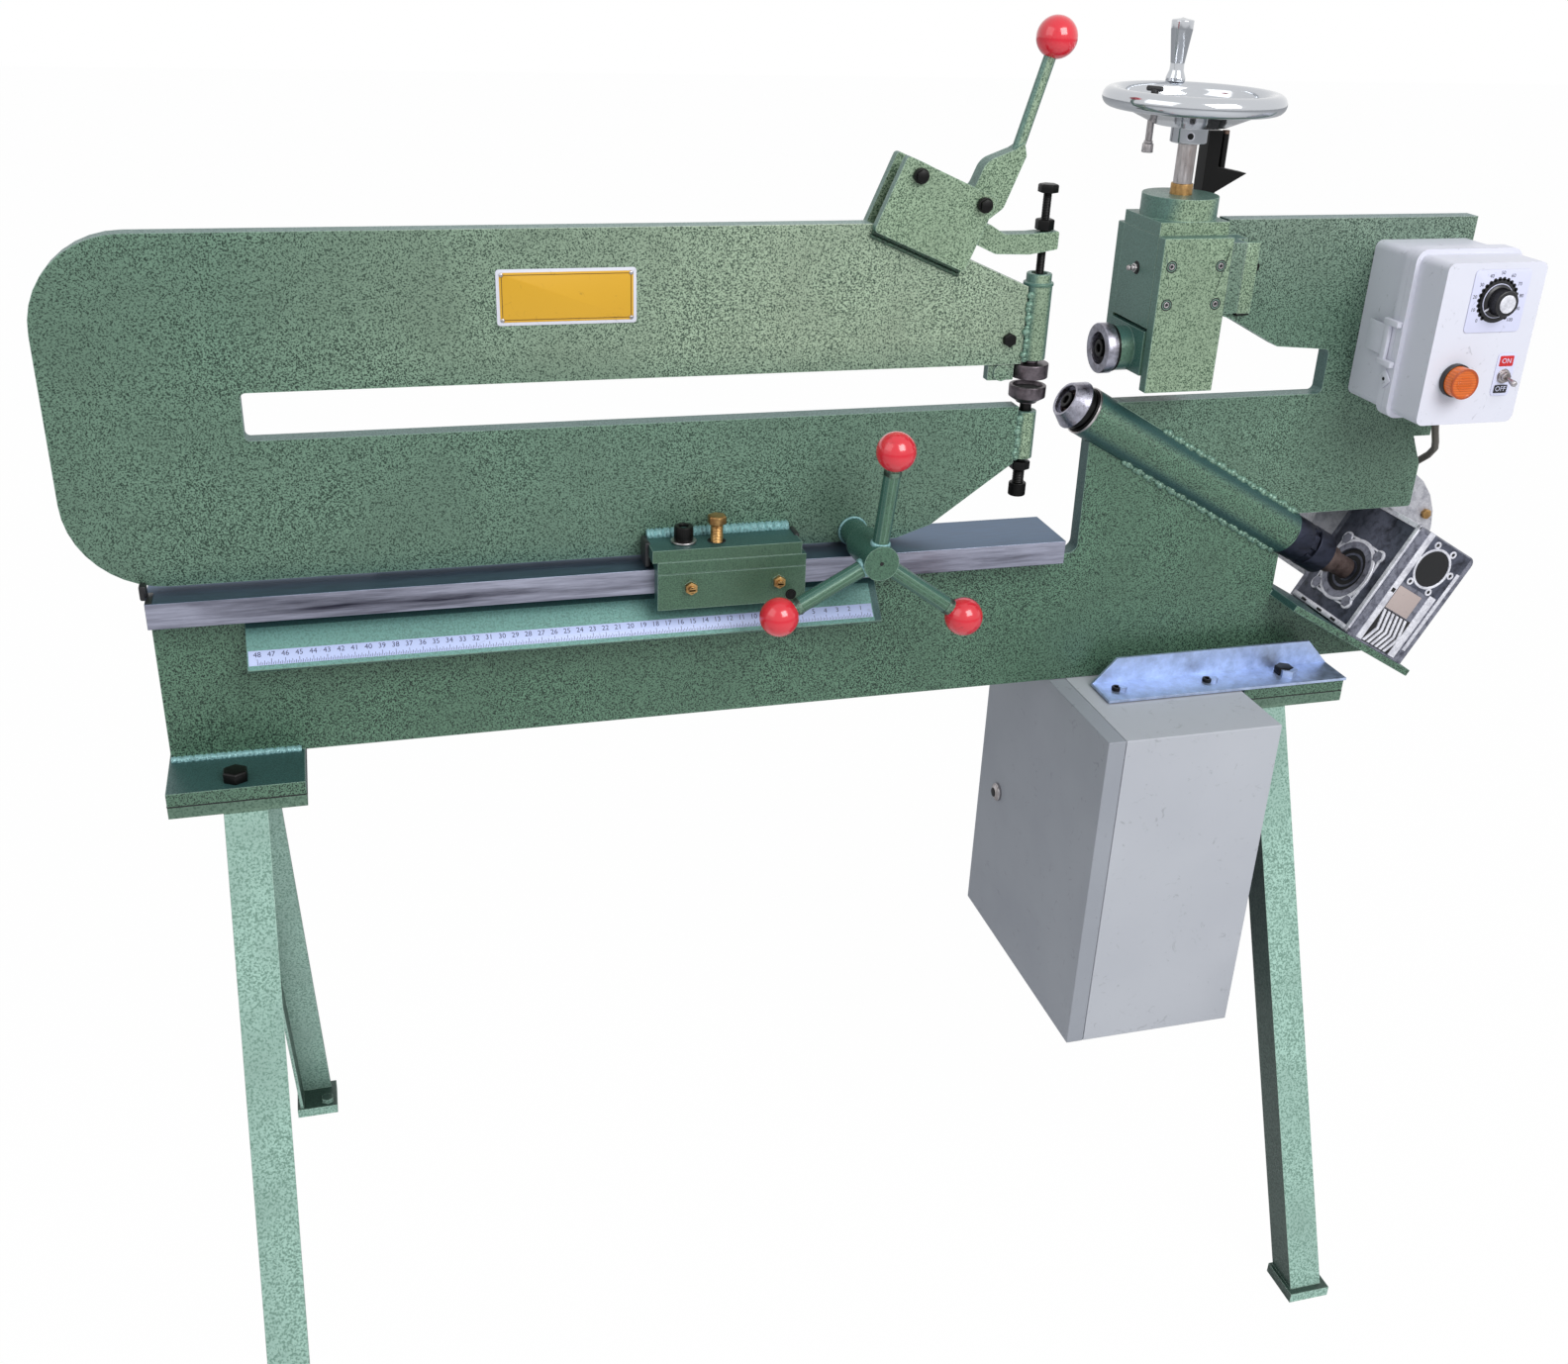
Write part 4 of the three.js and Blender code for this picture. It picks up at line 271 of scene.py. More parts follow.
def fill_scuff(tree: Tree, given: Sockets) -> Sequence[Socket]:
    """Sparse specks and soft dust."""
    specks = tree.noise(given["Vector"], given["Scale"], 6.0, 0.7, 1.4)
    return tree.remap(specks, 0.61, 0.68), tree.remap(tree.noise(given["Vector"], 7.0, 4.0), 0.35, 0.7)


HAMMER = Effect("hammered_drops", ("Vector",), ("Scale",), ("Drops", "Height", "Patch"), fill_hammer)
FACING = Effect("facing_and_edges", (), ("Radius",), ("Facing", "Edge"), fill_facing)
GRAIN = Effect("tool_marks", ("Vector", "Stretch"), ("Scale", "Cloud"), ("Lines", "Stain"), fill_grain)
SCUFF = Effect("specks_and_dust", ("Vector",), ("Scale",), ("Specks", "Dust"), fill_scuff)


@dataclass(frozen=True)
class Finish:
    """What every finish shares: its name, its usual slot and how it sets up a material."""

    label: str
    slot: Slot = field(default=Slot.HAMMERTONE, kw_only=True)

    def material(self) -> bpy.types.Material:
        """Return the finish's material, made on first use."""
        known = bpy.data.materials.get(self.label)
        if known:
            return known
        made = bpy.data.materials.new(self.label)
        tree = Tree.blank(made)
        shader = tree.node("BsdfPrincipled", self.inputs(tree, tree.node("TexCoord").outputs["Object"]))
        tree.node("OutputMaterial", {"Surface": shader.outputs[0]})
        return made

    def inputs(self, tree: Tree, place: Socket) -> Values:
        """Return what the main shader's inputs get; each kind of finish has its own.

        Args:
            tree: The material's tree.
            place: Object coordinates.
        """
        raise NotImplementedError


@dataclass(frozen=True)
class HammeredEnamel(Finish):
    """Hammered enamel with dark pits between paler drops; where it looks up or aside it shows weaker pits in
    another tone, painted shade and painted sky reflection.
    """

    light: Tone
    dark: Tone
    # Tone of faces that look up or aside: painted shade and painted sky reflection.
    smooth: Tone
    scale: float = 560.0
    depth: float = 0.0006
    roughness: float = 0.32
    # Strength and pale tone of a painted highlight along edges.
    edge_highlight: float = 0.55
    worn: Tone = (176, 206, 190)
    # Above this height in metres the colour is darkened by the shade factors: painted shade.
    shaded_above: float = 0.0
    shade: Tone = (0.36, 0.4, 0.34)
    # A painted pool of light: an X span and a Z span in metres over which the colour turns paler by the gain
    # factors.
    lit: tuple[Span, Span] | None = None
    painted_light_gain: Tone = (1.0, 1.0, 1.0)

    def inputs(self, tree: Tree, place: Socket) -> Values:
        """Add drops and patches, a painted highlight on edges, painted shade and sky reflection where it
        looks up or aside, painted shade above a height, a painted pool of light and a raised surface.
        """
        drops = tree.use(HAMMER, Vector=place, Scale=self.scale)
        sides = tree.use(FACING, Radius=HIGHLIGHT_EDGE_RADIUS)
        pale = tree.blend(drops["Patch"], linear(self.light), linear(self.light, 0.86))
        front = tree.blend(drops["Drops"], linear(self.dark), pale)
        # Faces that look up or aside take the smooth tone as painted shade and painted sky reflection.
        aside = tree.blend(drops["Drops"], linear(self.smooth, 0.84), linear(self.smooth))
        colour = tree.blend(sides["Facing"], aside, front)
        # Painted highlight: edges found by the bevel mask turn to a pale tone.
        colour = tree.blend(tree.maths("MULTIPLY", sides["Edge"], self.edge_highlight), colour, linear(self.worn))
        where = tree.node("SeparateXYZ", {0: place}).outputs
        # Painted shade: darker above a height.
        if self.shaded_above:
            above = tree.maths("GREATER_THAN", where["Z"], self.shaded_above)
            colour = tree.blend(above, colour, tree.blend(1.0, colour, (*self.shade, 1.0), "MULTIPLY"))
        # Painted light: paler as X and Z rise through the given spans.
        if self.lit:
            across, upward = tree.remap(where["X"], *self.lit[0]), tree.remap(where["Z"], *self.lit[1])
            paler = tree.blend(1.0, colour, (*self.painted_light_gain, 1.0), "MULTIPLY")
            colour = tree.blend(tree.maths("MULTIPLY", across, upward), colour, paler)
        return {"Base Color": colour, "Metallic": 0.2, "Normal": tree.bump(drops["Height"], 0.5, self.depth),
                "Roughness": tree.remap(drops["Drops"], 0.0, 1.0, self.roughness + 0.16, self.roughness)}


@dataclass(frozen=True)
class WorkedMetal(Finish):
    """Bare metal with tool marks and stains."""

    slot: Slot = field(default=Slot.BARE_STEEL, kw_only=True)
    bright: Tone
    stained: Tone
    roughness: float = 0.32
    scale: float = 300.0
    depth: float = 0.0001
    metallic: float = 1.0
    cloud: float = 60.0
    stretch: Tone = (1.0, 1.0, 1.0)
    # Tone of faces that look up or aside: painted shade and painted sky reflection.
    top: Tone | None = None

    def inputs(self, tree: Tree, place: Socket) -> Values:
        """Add grain lines, stains and a roughness that follows both."""
        marks = tree.use(GRAIN, Vector=place, Stretch=self.stretch, Scale=self.scale, Cloud=self.cloud)
        colour = tree.blend(marks["Stain"], linear(self.bright), linear(self.stained))
        # Painted shade: faces that look up or aside take the top tone.
        if self.top:
            colour = tree.blend(tree.use(FACING, Radius=HIGHLIGHT_EDGE_RADIUS)["Facing"], linear(self.top), colour)
        colour = tree.blend(1.0, colour, tree.ramp(marks["Lines"], (0.34, 0.7), (0.66, 1.0)), "MULTIPLY")
        return {"Base Color": colour, "Metallic": self.metallic,
                "Normal": tree.bump(marks["Lines"], 0.35, self.depth),
                "Roughness": tree.remap(marks["Lines"], 0.2, 0.8, self.roughness, self.roughness + 0.22)}


@dataclass(frozen=True)
class SmoothCoat(Finish):
    """Moulded plastic, powder coat or print: an even colour with faint specks and dust."""

    slot: Slot = field(default=Slot.WHITE, kw_only=True)
    tone: Tone
    dusty: Tone
    roughness: float = 0.35
    peel: float = 900.0
    depth: float = 0.00006
    coat: float = 0.0

    def inputs(self, tree: Tree, place: Socket) -> Values:
        """Add dust, specks and a fine orange-peel surface."""
        marks = tree.use(SCUFF, Vector=place, Scale=SPECK_SCALE)
        dull = tree.maths("MULTIPLY", marks["Dust"], 0.6)
        colour = tree.blend(dull, linear(self.tone), linear(self.dusty))
        faint = tree.maths("MULTIPLY", marks["Specks"], 0.35)
        return {"Base Color": tree.blend(faint, colour, linear(self.tone, 0.6)), "Coat Weight": self.coat,
                "Normal": tree.bump(tree.noise(place, self.peel, 2.0), 0.3, self.depth),
                "Roughness": tree.remap(marks["Dust"], 0.0, 1.0, self.roughness, self.roughness + 0.15)}


@dataclass(frozen=True)
class AmberLens(Finish):
    """Ribbed amber lens that lets a little light through."""

    tone: Tone = (204, 98, 34)
    glow: Tone = (240, 120, 20)

    def inputs(self, tree: Tree, place: Socket) -> Values:
        """Add fine horizontal ribs and a faint glow."""
        ribs = tree.node("TexWave", {"Vector": place, "Scale": 120.0, "Distortion": 0.2},
                         bands_direction="Z").outputs["Fac"]
        colour = tree.blend(1.0, linear(self.tone), tree.ramp(ribs, (0.0, 0.72), (1.0, 1.0)), "MULTIPLY")
        return {"Base Color": colour, "Roughness": 0.18, "Emission Color": linear(self.glow),
                "Emission Strength": 0.12, "Normal": tree.bump(ribs, 0.4, 0.0004)}


# The C plate's and the head's enamels carry a painted pool of light high up.
ENAMEL = HammeredEnamel("hammered_green", (116, 149, 128), (28, 51, 40), (76, 112, 107), 660.0,
                        lit=((-0.60, -0.10), (1.03, 1.09)), painted_light_gain=(2.3, 1.72, 1.72))
# A paler copy of the green enamel: painted light.
ENAMEL_LIT = HammeredEnamel("hammered_green_lit", (158, 182, 153), (58, 82, 62), (92, 126, 116), 660.0)
ENAMEL_HEAD = HammeredEnamel("hammered_green_head", (116, 148, 127), (28, 51, 40), (76, 112, 107), 660.0,
                             lit=((-2.0, -1.0), (1.10, 1.21)), painted_light_gain=(1.5, 1.24, 1.34))
# A darker copy of the green enamel: painted shade.
ENAMEL_SHADED = HammeredEnamel("hammered_green_deep", (102, 139, 115), (20, 40, 32), (52, 88, 86), 660.0)
ENAMEL_WORN = HammeredEnamel("hammered_green_worn", (80, 114, 90), (48, 74, 60), (50, 88, 84), 900.0, 0.0003)
ENAMEL_HAND = HammeredEnamel("hammered_green_handled", (88, 126, 102), (44, 72, 58), (60, 102, 90), 900.0,
                             0.0003, 0.26)
ENAMEL_SMOOTH = HammeredEnamel("hammered_green_fine", (106, 142, 122), (56, 86, 72), (76, 116, 108), 800.0,
                               0.0003, 0.24, 0.3)
# The stands' pale enamel; from the stands' top plate up the colour takes painted shade, and its dark smooth
# tone is painted shade on faces that look aside.
ENAMEL_PALE = HammeredEnamel("hammered_green_pale", (170, 206, 192), (112, 146, 132), (50, 72, 64), 420.0,
                             shaded_above=0.6722, slot=Slot.HAMMERTONE_PALE)
ENAMEL_LEDGE = HammeredEnamel("smooth_green_ledge", (104, 150, 142), (92, 136, 128), (104, 150, 142),
                              edge_highlight=0.2)
WELD = HammeredEnamel("painted_weld", (140, 186, 188), (66, 108, 112), (142, 188, 190), 460.0, 0.001, 0.34,
                      0.0)
WELD_GREEN = HammeredEnamel("painted_weld_green", (132, 166, 146), (52, 80, 64), (122, 158, 142), 420.0,
                            0.001, 0.22, 0.0)
WELD_DARK = HammeredEnamel("painted_weld_dark", (74, 104, 84), (24, 40, 30), (60, 88, 74), 420.0, 0.001, 0.26,
                           0.0)
# The rail's top is darker and bluer: painted shade with a painted sky reflection.
RAIL_STEEL = WorkedMetal("machined_rail", (172, 174, 192), (56, 56, 70), 0.36, 520.0, cloud=64.0,
                         stretch=(0.06, 1.0, 1.0), top=(104, 124, 148))
BRIGHT_STEEL = WorkedMetal("bright_steel", (200, 196, 198), (138, 128, 124), 0.22, 360.0,
                           stretch=(1.0, 1.0, 0.2))
WORN_STEEL = WorkedMetal("worn_brown_steel", (142, 120, 108), (74, 60, 52), 0.4, stretch=(1.0, 1.0, 0.2))
DARK_STEEL = WorkedMetal("black_oxide", (40, 41, 48), (18, 18, 22), 0.44, metallic=0.3, slot=Slot.BLACK_OXIDE)
COUPLING_STEEL = WorkedMetal("blue_black_coupling", (52, 56, 72), (20, 21, 28), 0.34, 260.0, metallic=0.8,
                             stretch=(0.3, 1.0, 1.0), slot=Slot.BLACK_OXIDE)
RUSTY_STEEL = WorkedMetal("rust_stained_shaft", (112, 96, 92), (58, 42, 38), 0.44, 420.0, metallic=0.7,
                          slot=Slot.BLACK_OXIDE)
HOT_STEEL = WorkedMetal("dark_tool_steel", (118, 110, 116), (62, 56, 60), 0.27, 260.0, slot=Slot.TOOL_STEEL)
CUTTER_STEEL = WorkedMetal("ground_cutter_steel", (176, 176, 190), (118, 112, 118), 0.2, 260.0,
                           slot=Slot.TOOL_STEEL)
POLISHED = WorkedMetal("polished_aluminium", (196, 202, 220), (136, 130, 132), 0.16, 150.0, 0.00003,
                       cloud=34.0, slot=Slot.POLISHED)
CASTING = WorkedMetal("grey_casting", (142, 144, 158), (76, 78, 92), 0.42, 700.0, 0.0004, 0.7, 140.0,
                      slot=Slot.CASTING)
PALE_CASTING = WorkedMetal("pale_casting", (206, 206, 212), (160, 160, 170), 0.42, 700.0, 0.0003, 0.35, 140.0,
                           slot=Slot.CASTING)
# The casting's darker faces, darkened further as painted shade on the gearbox's recessed output face.
DARK_SHADED_CASTING = WorkedMetal("dark_shaded_casting", (92, 96, 112), (38, 40, 50), 0.4, 500.0, 0.0003, 0.6, 90.0,
                           slot=Slot.CASTING)
# Near-white machined metal, brighter than its own colour as a painted highlight, so that machined faces in
# shade look bright.
MACHINED_HIGHLIGHT = WorkedMetal("machined_casting_highlight", (244, 244, 252), (196, 196, 208), 0.3, 380.0, metallic=0.3,
                       slot=Slot.CASTING)
BRASS = WorkedMetal("dull_brass", (196, 158, 104), (126, 92, 58), 0.30, slot=Slot.BRASS)
BRONZE = WorkedMetal("cast_bronze", (176, 122, 70), (120, 78, 44), 0.36, 400.0)
ZINC = WorkedMetal("zinc_plate", (192, 208, 238), (176, 192, 226), 0.34, 90.0, 0.00002, 0.85, 12.0)
RED = SmoothCoat("red_phenolic", (218, 28, 50), (202, 24, 42), 0.14, 300.0, 0.00003, 0.7, slot=Slot.RED)
WHITE = SmoothCoat("white_moulding", (217, 218, 229), (206, 207, 219), 0.36)
BLACK = SmoothCoat("black_moulding", (22, 22, 25), (36, 36, 40), 0.3, slot=Slot.BLACK)
GREY = SmoothCoat("grey_powder_coat", (180, 183, 190), (170, 173, 181), 0.45, 1100.0, 0.0001)
# A darker copy of the grey powder coat for the door: painted shade.
GREY_SHADED = SmoothCoat("grey_powder_coat_shaded", (150, 154, 162), (140, 144, 153), 0.45, 1100.0, 0.0001)
YELLOW = SmoothCoat("yellow_plate", (214, 164, 34), (204, 154, 30), 0.36)
PAPER = SmoothCoat("white_print_ground", (212, 214, 238), (202, 205, 232), 0.34)
TAPE_PAPER = SmoothCoat("tape_print_ground", (192, 204, 240), (180, 194, 234), 0.3)
INK = SmoothCoat("dark_print", (46, 48, 84), (58, 60, 98), 0.5, slot=Slot.BLACK)
BROWN_INK = SmoothCoat("brown_print", (104, 74, 26), (92, 64, 22), 0.5, slot=Slot.BLACK)
RED_INK = SmoothCoat("red_print", (200, 30, 34), (186, 30, 34), 0.4, slot=Slot.RED)
BEIGE = SmoothCoat("beige_plate", (184, 170, 166), (164, 148, 144), 0.4)
# A near-black coat: the colour of dark joints, and painted shade in holes, gaps and recesses.
SHADOW = SmoothCoat("dark_recess", (12, 13, 16), (18, 19, 22), 0.7, slot=Slot.BLACK_OXIDE)
SLEEVE = SmoothCoat("grey_lead_sleeve", (92, 88, 80), (74, 70, 64), 0.5)
AMBER_RIM = SmoothCoat("dark_amber_rim", (176, 78, 30), (150, 64, 26), 0.24, slot=Slot.AMBER)
LENS = AmberLens("amber_lens", slot=Slot.AMBER)


def rounded(points: Profile, radius: float = 0.0, closed: bool = True, steps: int = 4) -> list[Span]:
    """Round the corners of a flat line.

    Args:
        points: Corners, each of which may carry its own radius as a third number.
        radius: Radius of the corners that carry none.
        closed: Whether the line returns to its start.
        steps: Pieces in each rounded corner.

    Returns:
        The line with its arcs as points.
    """
    made: list[Span] = []
    count = len(points)
    for index, corner in enumerate(points):
        here = Vector(corner[:2])
        size = corner[2] if len(corner) > 2 else radius
        if size <= 0 or (not closed and index in (0, count - 1)):
            made.append(tuple(here))
            continue
        back = Vector(points[index - 1][:2]) - here
        ahead = Vector(points[(index + 1) % count][:2]) - here
        half = back.angle(ahead) / 2
        reach = min(size / math.tan(half), 0.48 * back.length, 0.48 * ahead.length)
        size = reach * math.tan(half)
        start = here + back.normalized() * reach
        end = here + ahead.normalized() * reach
        middle = here + (back.normalized() + ahead.normalized()).normalized() * (size / math.sin(half))
        for step in range(steps + 1):
            spot = start.lerp(end, step / steps) - middle
            made.append(tuple(middle + spot.normalized() * size))
    return made


def sheet(left: float, low: float, right: float, high: float, radius: float) -> list[Span]:
    """Return a rectangle's outline with rounded corners."""
    return rounded([(left, low), (right, low), (right, high), (left, high)], radius)


def crisp(mesh: Mesh, width: float, angle: float = 35.0) -> Mesh:
    """Break a mesh's edges that are sharper than an angle in degrees."""
    limit = math.radians(angle)
    edges = [e for e in mesh.edges if len(e.link_faces) == 2 and e.calc_face_angle(0) > limit]
    if edges and width > 0:
        bmesh.ops.bevel(mesh, geom=edges, offset=width, offset_type="OFFSET", affect="EDGES", segments=2,
                        profile=0.5, material=-1, clamp_overlap=True)
    return mesh


def block(low: Sequence[float], high: Sequence[float], edge: float = 0.6) -> Mesh:
    """Make a box between two corners with broken edges."""
    mesh = bmesh.new()
    bmesh.ops.create_cube(mesh, size=1.0)
    size = [b - a for a, b in zip(low, high)]
    bmesh.ops.scale(mesh, vec=size, verts=mesh.verts)
    bmesh.ops.translate(mesh, vec=[(a + b) / 2 for a, b in zip(low, high)], verts=mesh.verts)
    return crisp(mesh, min(edge, 0.3 * min(size)))


def turned(profile: Profile, steps: int = 64, closed: bool = False) -> Mesh:
    """Turn a profile of radius and height about Z.

    Args:
        profile: The points, from axis to axis, or a closed ring.
        steps: Faces round the piece.
        closed: Whether the profile's end joins its start.

    Returns:
        The turned mesh.
    """
    mesh = bmesh.new()
    dots = [mesh.verts.new((radius, 0, height)) for radius, height in profile]
    pairs = list(zip(dots, dots[1:])) + ([(dots[-1], dots[0])] if closed else [])
    edges = [mesh.edges.new(pair) for pair in pairs]
    bmesh.ops.spin(mesh, geom=dots + edges, cent=(0, 0, 0), axis=(0, 0, 1), angle=2 * math.pi, steps=steps,
                   use_merge=True, use_duplicate=False)
    bmesh.ops.remove_doubles(mesh, verts=mesh.verts, dist=0.0005)
    bmesh.ops.recalc_face_normals(mesh, faces=mesh.faces)
    return mesh


def lathe(points: Profile, steps: int, closed: bool = False, radius: float = 0.0, arc: int = 4) -> Mesh:
    """Turn a profile about Z with its corners rounded in pieces of an arc."""
    return turned(rounded(points, radius, closed, arc), steps, closed)


def rod(radius: float, low: float, high: float, edge: float = 0.5, steps: int = 40) -> Mesh:
    """Make a rod about Z with rounded ends."""
    return lathe([(0, low), (radius, low), (radius, high), (0, high)], steps, False, edge, 3)


def tube(outer: float, inner: float, low: float, high: float, edge: float = 0.5, steps: int = 48) -> Mesh:
    """Make a tube about Z with rounded ends."""
    return lathe([(inner, low), (outer, low), (outer, high), (inner, high)], steps, True, edge, 3)


def ball(radius: float, steps: int = 40) -> Mesh:
    """Make a ball about the origin."""
    mesh = bmesh.new()
    bmesh.ops.create_uvsphere(mesh, u_segments=steps, v_segments=steps // 2, radius=radius)
    return mesh


def prism(radius: float, low: float, high: float) -> Mesh:
    """Make a plain hexagonal prism about Z, sized by its corners."""
    mesh = bmesh.new()
    bmesh.ops.create_cone(mesh, cap_ends=True, cap_tris=False, segments=6, radius1=radius, radius2=radius,
                          depth=high - low)
    bmesh.ops.translate(mesh, vec=(0, 0, (low + high) / 2), verts=mesh.verts)
    return mesh


def hexagon(radius: float, low: float, high: float, edge: float = 0.6) -> Mesh:
    """Make a hexagonal head about Z with broken edges."""
    return crisp(prism(radius, low, high), edge)


def domed_hexagon(radius: float, low: float, high: float) -> Mesh:
    """Make a bolt's hexagonal head about Z whose top is turned off."""
    mesh = prism(radius, low, high)
    top = max(mesh.faces, key=lambda face: face.calc_center_median().z)
    bmesh.ops.inset_region(mesh, faces=[top], thickness=0.14 * radius, depth=0.1 * radius)
    return crisp(mesh, 0.05 * radius, 20)


def threaded(radius: float, low: float, high: float, pitch: float = 1.5) -> Mesh:
    """Make a rod about Z whose surface carries thread-like ridges."""
    line: list[Span] = [(0, low)]
    count = max(2, round((high - low) / pitch))
    for index in range(count):
        base = low + (high - low) * index / count
        line += [(radius * 0.9, base), (radius, base + pitch / 2)]
    line += [(radius * 0.9, high), (0, high)]
    return turned(line, 24)


def bead(length: float, radius: float, ripple: float) -> Mesh:
    """Make a rippled weld bead along Z."""
    count = max(3, round(length / ripple))
    line: list[Span] = [(0, 0)]
    for index in range(2 * count + 1):
        wave = 1.0 if index % 2 else 0.8 - 0.08 * math.sin(1.7 * index)
        line.append((radius * wave, length * index / (2 * count)))
    line.append((0, length))
    return turned(line, 12)


def slab(outline: Profile, front: float, thickness: float, edge: float = 0.6) -> Mesh:
    """Make an upright plate from its outline in X and Z."""
    mesh = bmesh.new()
    face = mesh.faces.new([mesh.verts.new((x, front, z)) for x, z in outline])
    pushed = bmesh.ops.extrude_face_region(mesh, geom=[face])
    moved = [item for item in pushed["geom"] if isinstance(item, bmesh.types.BMVert)]
    bmesh.ops.translate(mesh, vec=(0, thickness, 0), verts=moved)
    bmesh.ops.recalc_face_normals(mesh, faces=mesh.faces)
    return crisp(mesh, edge)


def lettering(text: str, height: float, depth: float) -> Mesh:
    """Make plain raised characters, centred on the origin, that read from +Z."""
    curve = bpy.data.curves.new("lettering", "FONT")
    curve.body = text
    curve.size = height * 1.4
    curve.align_x = curve.align_y = "CENTER"
    curve.extrude = depth
    curve.resolution_u = 3
    thing = bpy.data.objects.new("lettering", curve)
    mesh = bmesh.new()
    flat = bpy.data.meshes.new_from_object(thing)
    mesh.from_mesh(flat)
    bpy.data.objects.remove(thing)
    bpy.data.curves.remove(curve)
    bpy.data.meshes.remove(flat)
    return mesh


def front(x: float, y: float, z: float) -> Matrix:
    """Return a place on a face that looks at the operator, with Z out of it."""
    return at(x, y, z) @ spin(90, "X")


def leftward(x: float, y: float, z: float) -> Matrix:
    """Return a place on a face that looks left, with Z out of it."""
    return at(x, y, z) @ spin(-90, "Y")


def round_z(angles: Iterable[float], reach: float) -> Iterator[Matrix]:
    """Yield places at some angles in degrees round Z."""
    for angle in angles:
        yield spin(angle) @ at(reach, 0, 0)


class Form:
    """Several shapes gathered into one piece."""

    def __init__(self, *shapes: Mesh) -> None:
        """Start with some shapes, where they are."""
        self.mesh = bmesh.new()
        for shape in shapes:
            self.add(shape)

    def add(self, shape: Mesh, place: Matrix | None = None) -> None:
        """Take in a shape, which is used up, at a place."""
        if place is not None:
            shape.transform(place)
        carrier = bpy.data.meshes.new("carrier")
        shape.to_mesh(carrier)
        shape.free()
        self.mesh.from_mesh(carrier)
        bpy.data.meshes.remove(carrier)


@dataclass
class Workshop:
    """Turns forms into objects that ride on the machine's bodies."""

    count: int = 0
    bevel_angle: float = 32.0
    weld_gap: float = 0.00001

    def keep(self, form: Form | Mesh, name: str, finish: Finish, body: Body = Body.FRAME, *stands_for: str,
             place: Matrix | None = None, slot: Slot | None = None, smooth: float = 38.0) -> None:
        """Finish a form as an object.

        Args:
            form: The form or a single shape.
            name: The piece's name.
            finish: What it is made of.
            body: The body it rides on.
            stands_for: CAD nodes that it replaces.
            place: Turns the form into the drawing frame.
            slot: Not used.
            smooth: Edges flatter than this, in degrees, are shaded smooth.
        """
        mesh = form.mesh if isinstance(form, Form) else form
        if place is not None:
            mesh.transform(place)
        mesh.transform(TO_FRAME)
        data = bpy.data.meshes.new(name)
        mesh.to_mesh(data)
        mesh.free()
        data.shade_smooth()
        data.set_sharp_from_angle(angle=math.radians(smooth))
        data.materials.append(finish.material())
        thing = bpy.data.objects.new(name, data)
        bpy.context.scene.collection.objects.link(thing)
        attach(thing, body.value)
        if stands_for:
            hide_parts(*stands_for)
        self.count += 1
        log.info("%s: %d faces", name, len(data.polygons))

    def dress(self, finish: Finish, edge: float, *nodes: str) -> None:
        """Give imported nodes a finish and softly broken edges."""
        for name in nodes:
            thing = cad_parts[name]
            for slot in thing.material_slots:
                slot.link = "OBJECT"
                slot.material = finish.material()
            thing.data.shade_smooth()
            thing.modifiers.new("merge", "WELD").merge_threshold = self.weld_gap
            bevel = thing.modifiers.new("edges", "BEVEL")
            bevel.width = edge / 1000
            bevel.segments = 2
            bevel.limit_method = "ANGLE"
            bevel.angle_limit = math.radians(self.bevel_angle)
            bevel.harden_normals = False
            thing.modifiers.new("shading", "WEIGHTED_NORMAL").keep_sharp = True
            log.info("%s dressed as %s", name, finish.label)


def cap_screw(radius: float, height: float, ridges: int = 28) -> Mesh:
    """Make a socket cap screw's head about Z, standing on the origin, with a knurled side."""
    form = Form(tube(radius, radius * 0.52, 0, height, 0.09 * radius, 40),
                rod(radius * 0.56, 0.1, height * 0.42, 0.1, 24))
    for index in range(ridges):
        ridge = block((radius - 0.3, -0.22, 0.14 * height), (radius + 0.16, 0.22, 0.84 * height), 0.1)
        form.add(ridge, Matrix.Rotation(2 * math.pi * index / ridges, 4, "Z"))
    return form.mesh


def slotted_screw(radius: float, height: float) -> Mesh:
    """Make a slotted screw end in a thin nut, standing on the origin."""
    form = Form(hexagon(radius, 0, height * 0.6, 0.5), rod(radius * 0.55, 0, height, 0.4, 24))
    for side in (-1, 1):
        form.add(block((-radius * 0.5, side * 0.12 * radius, height),
                       (radius * 0.5, side * 0.34 * radius, height + 0.5), 0.15))
    return form.mesh


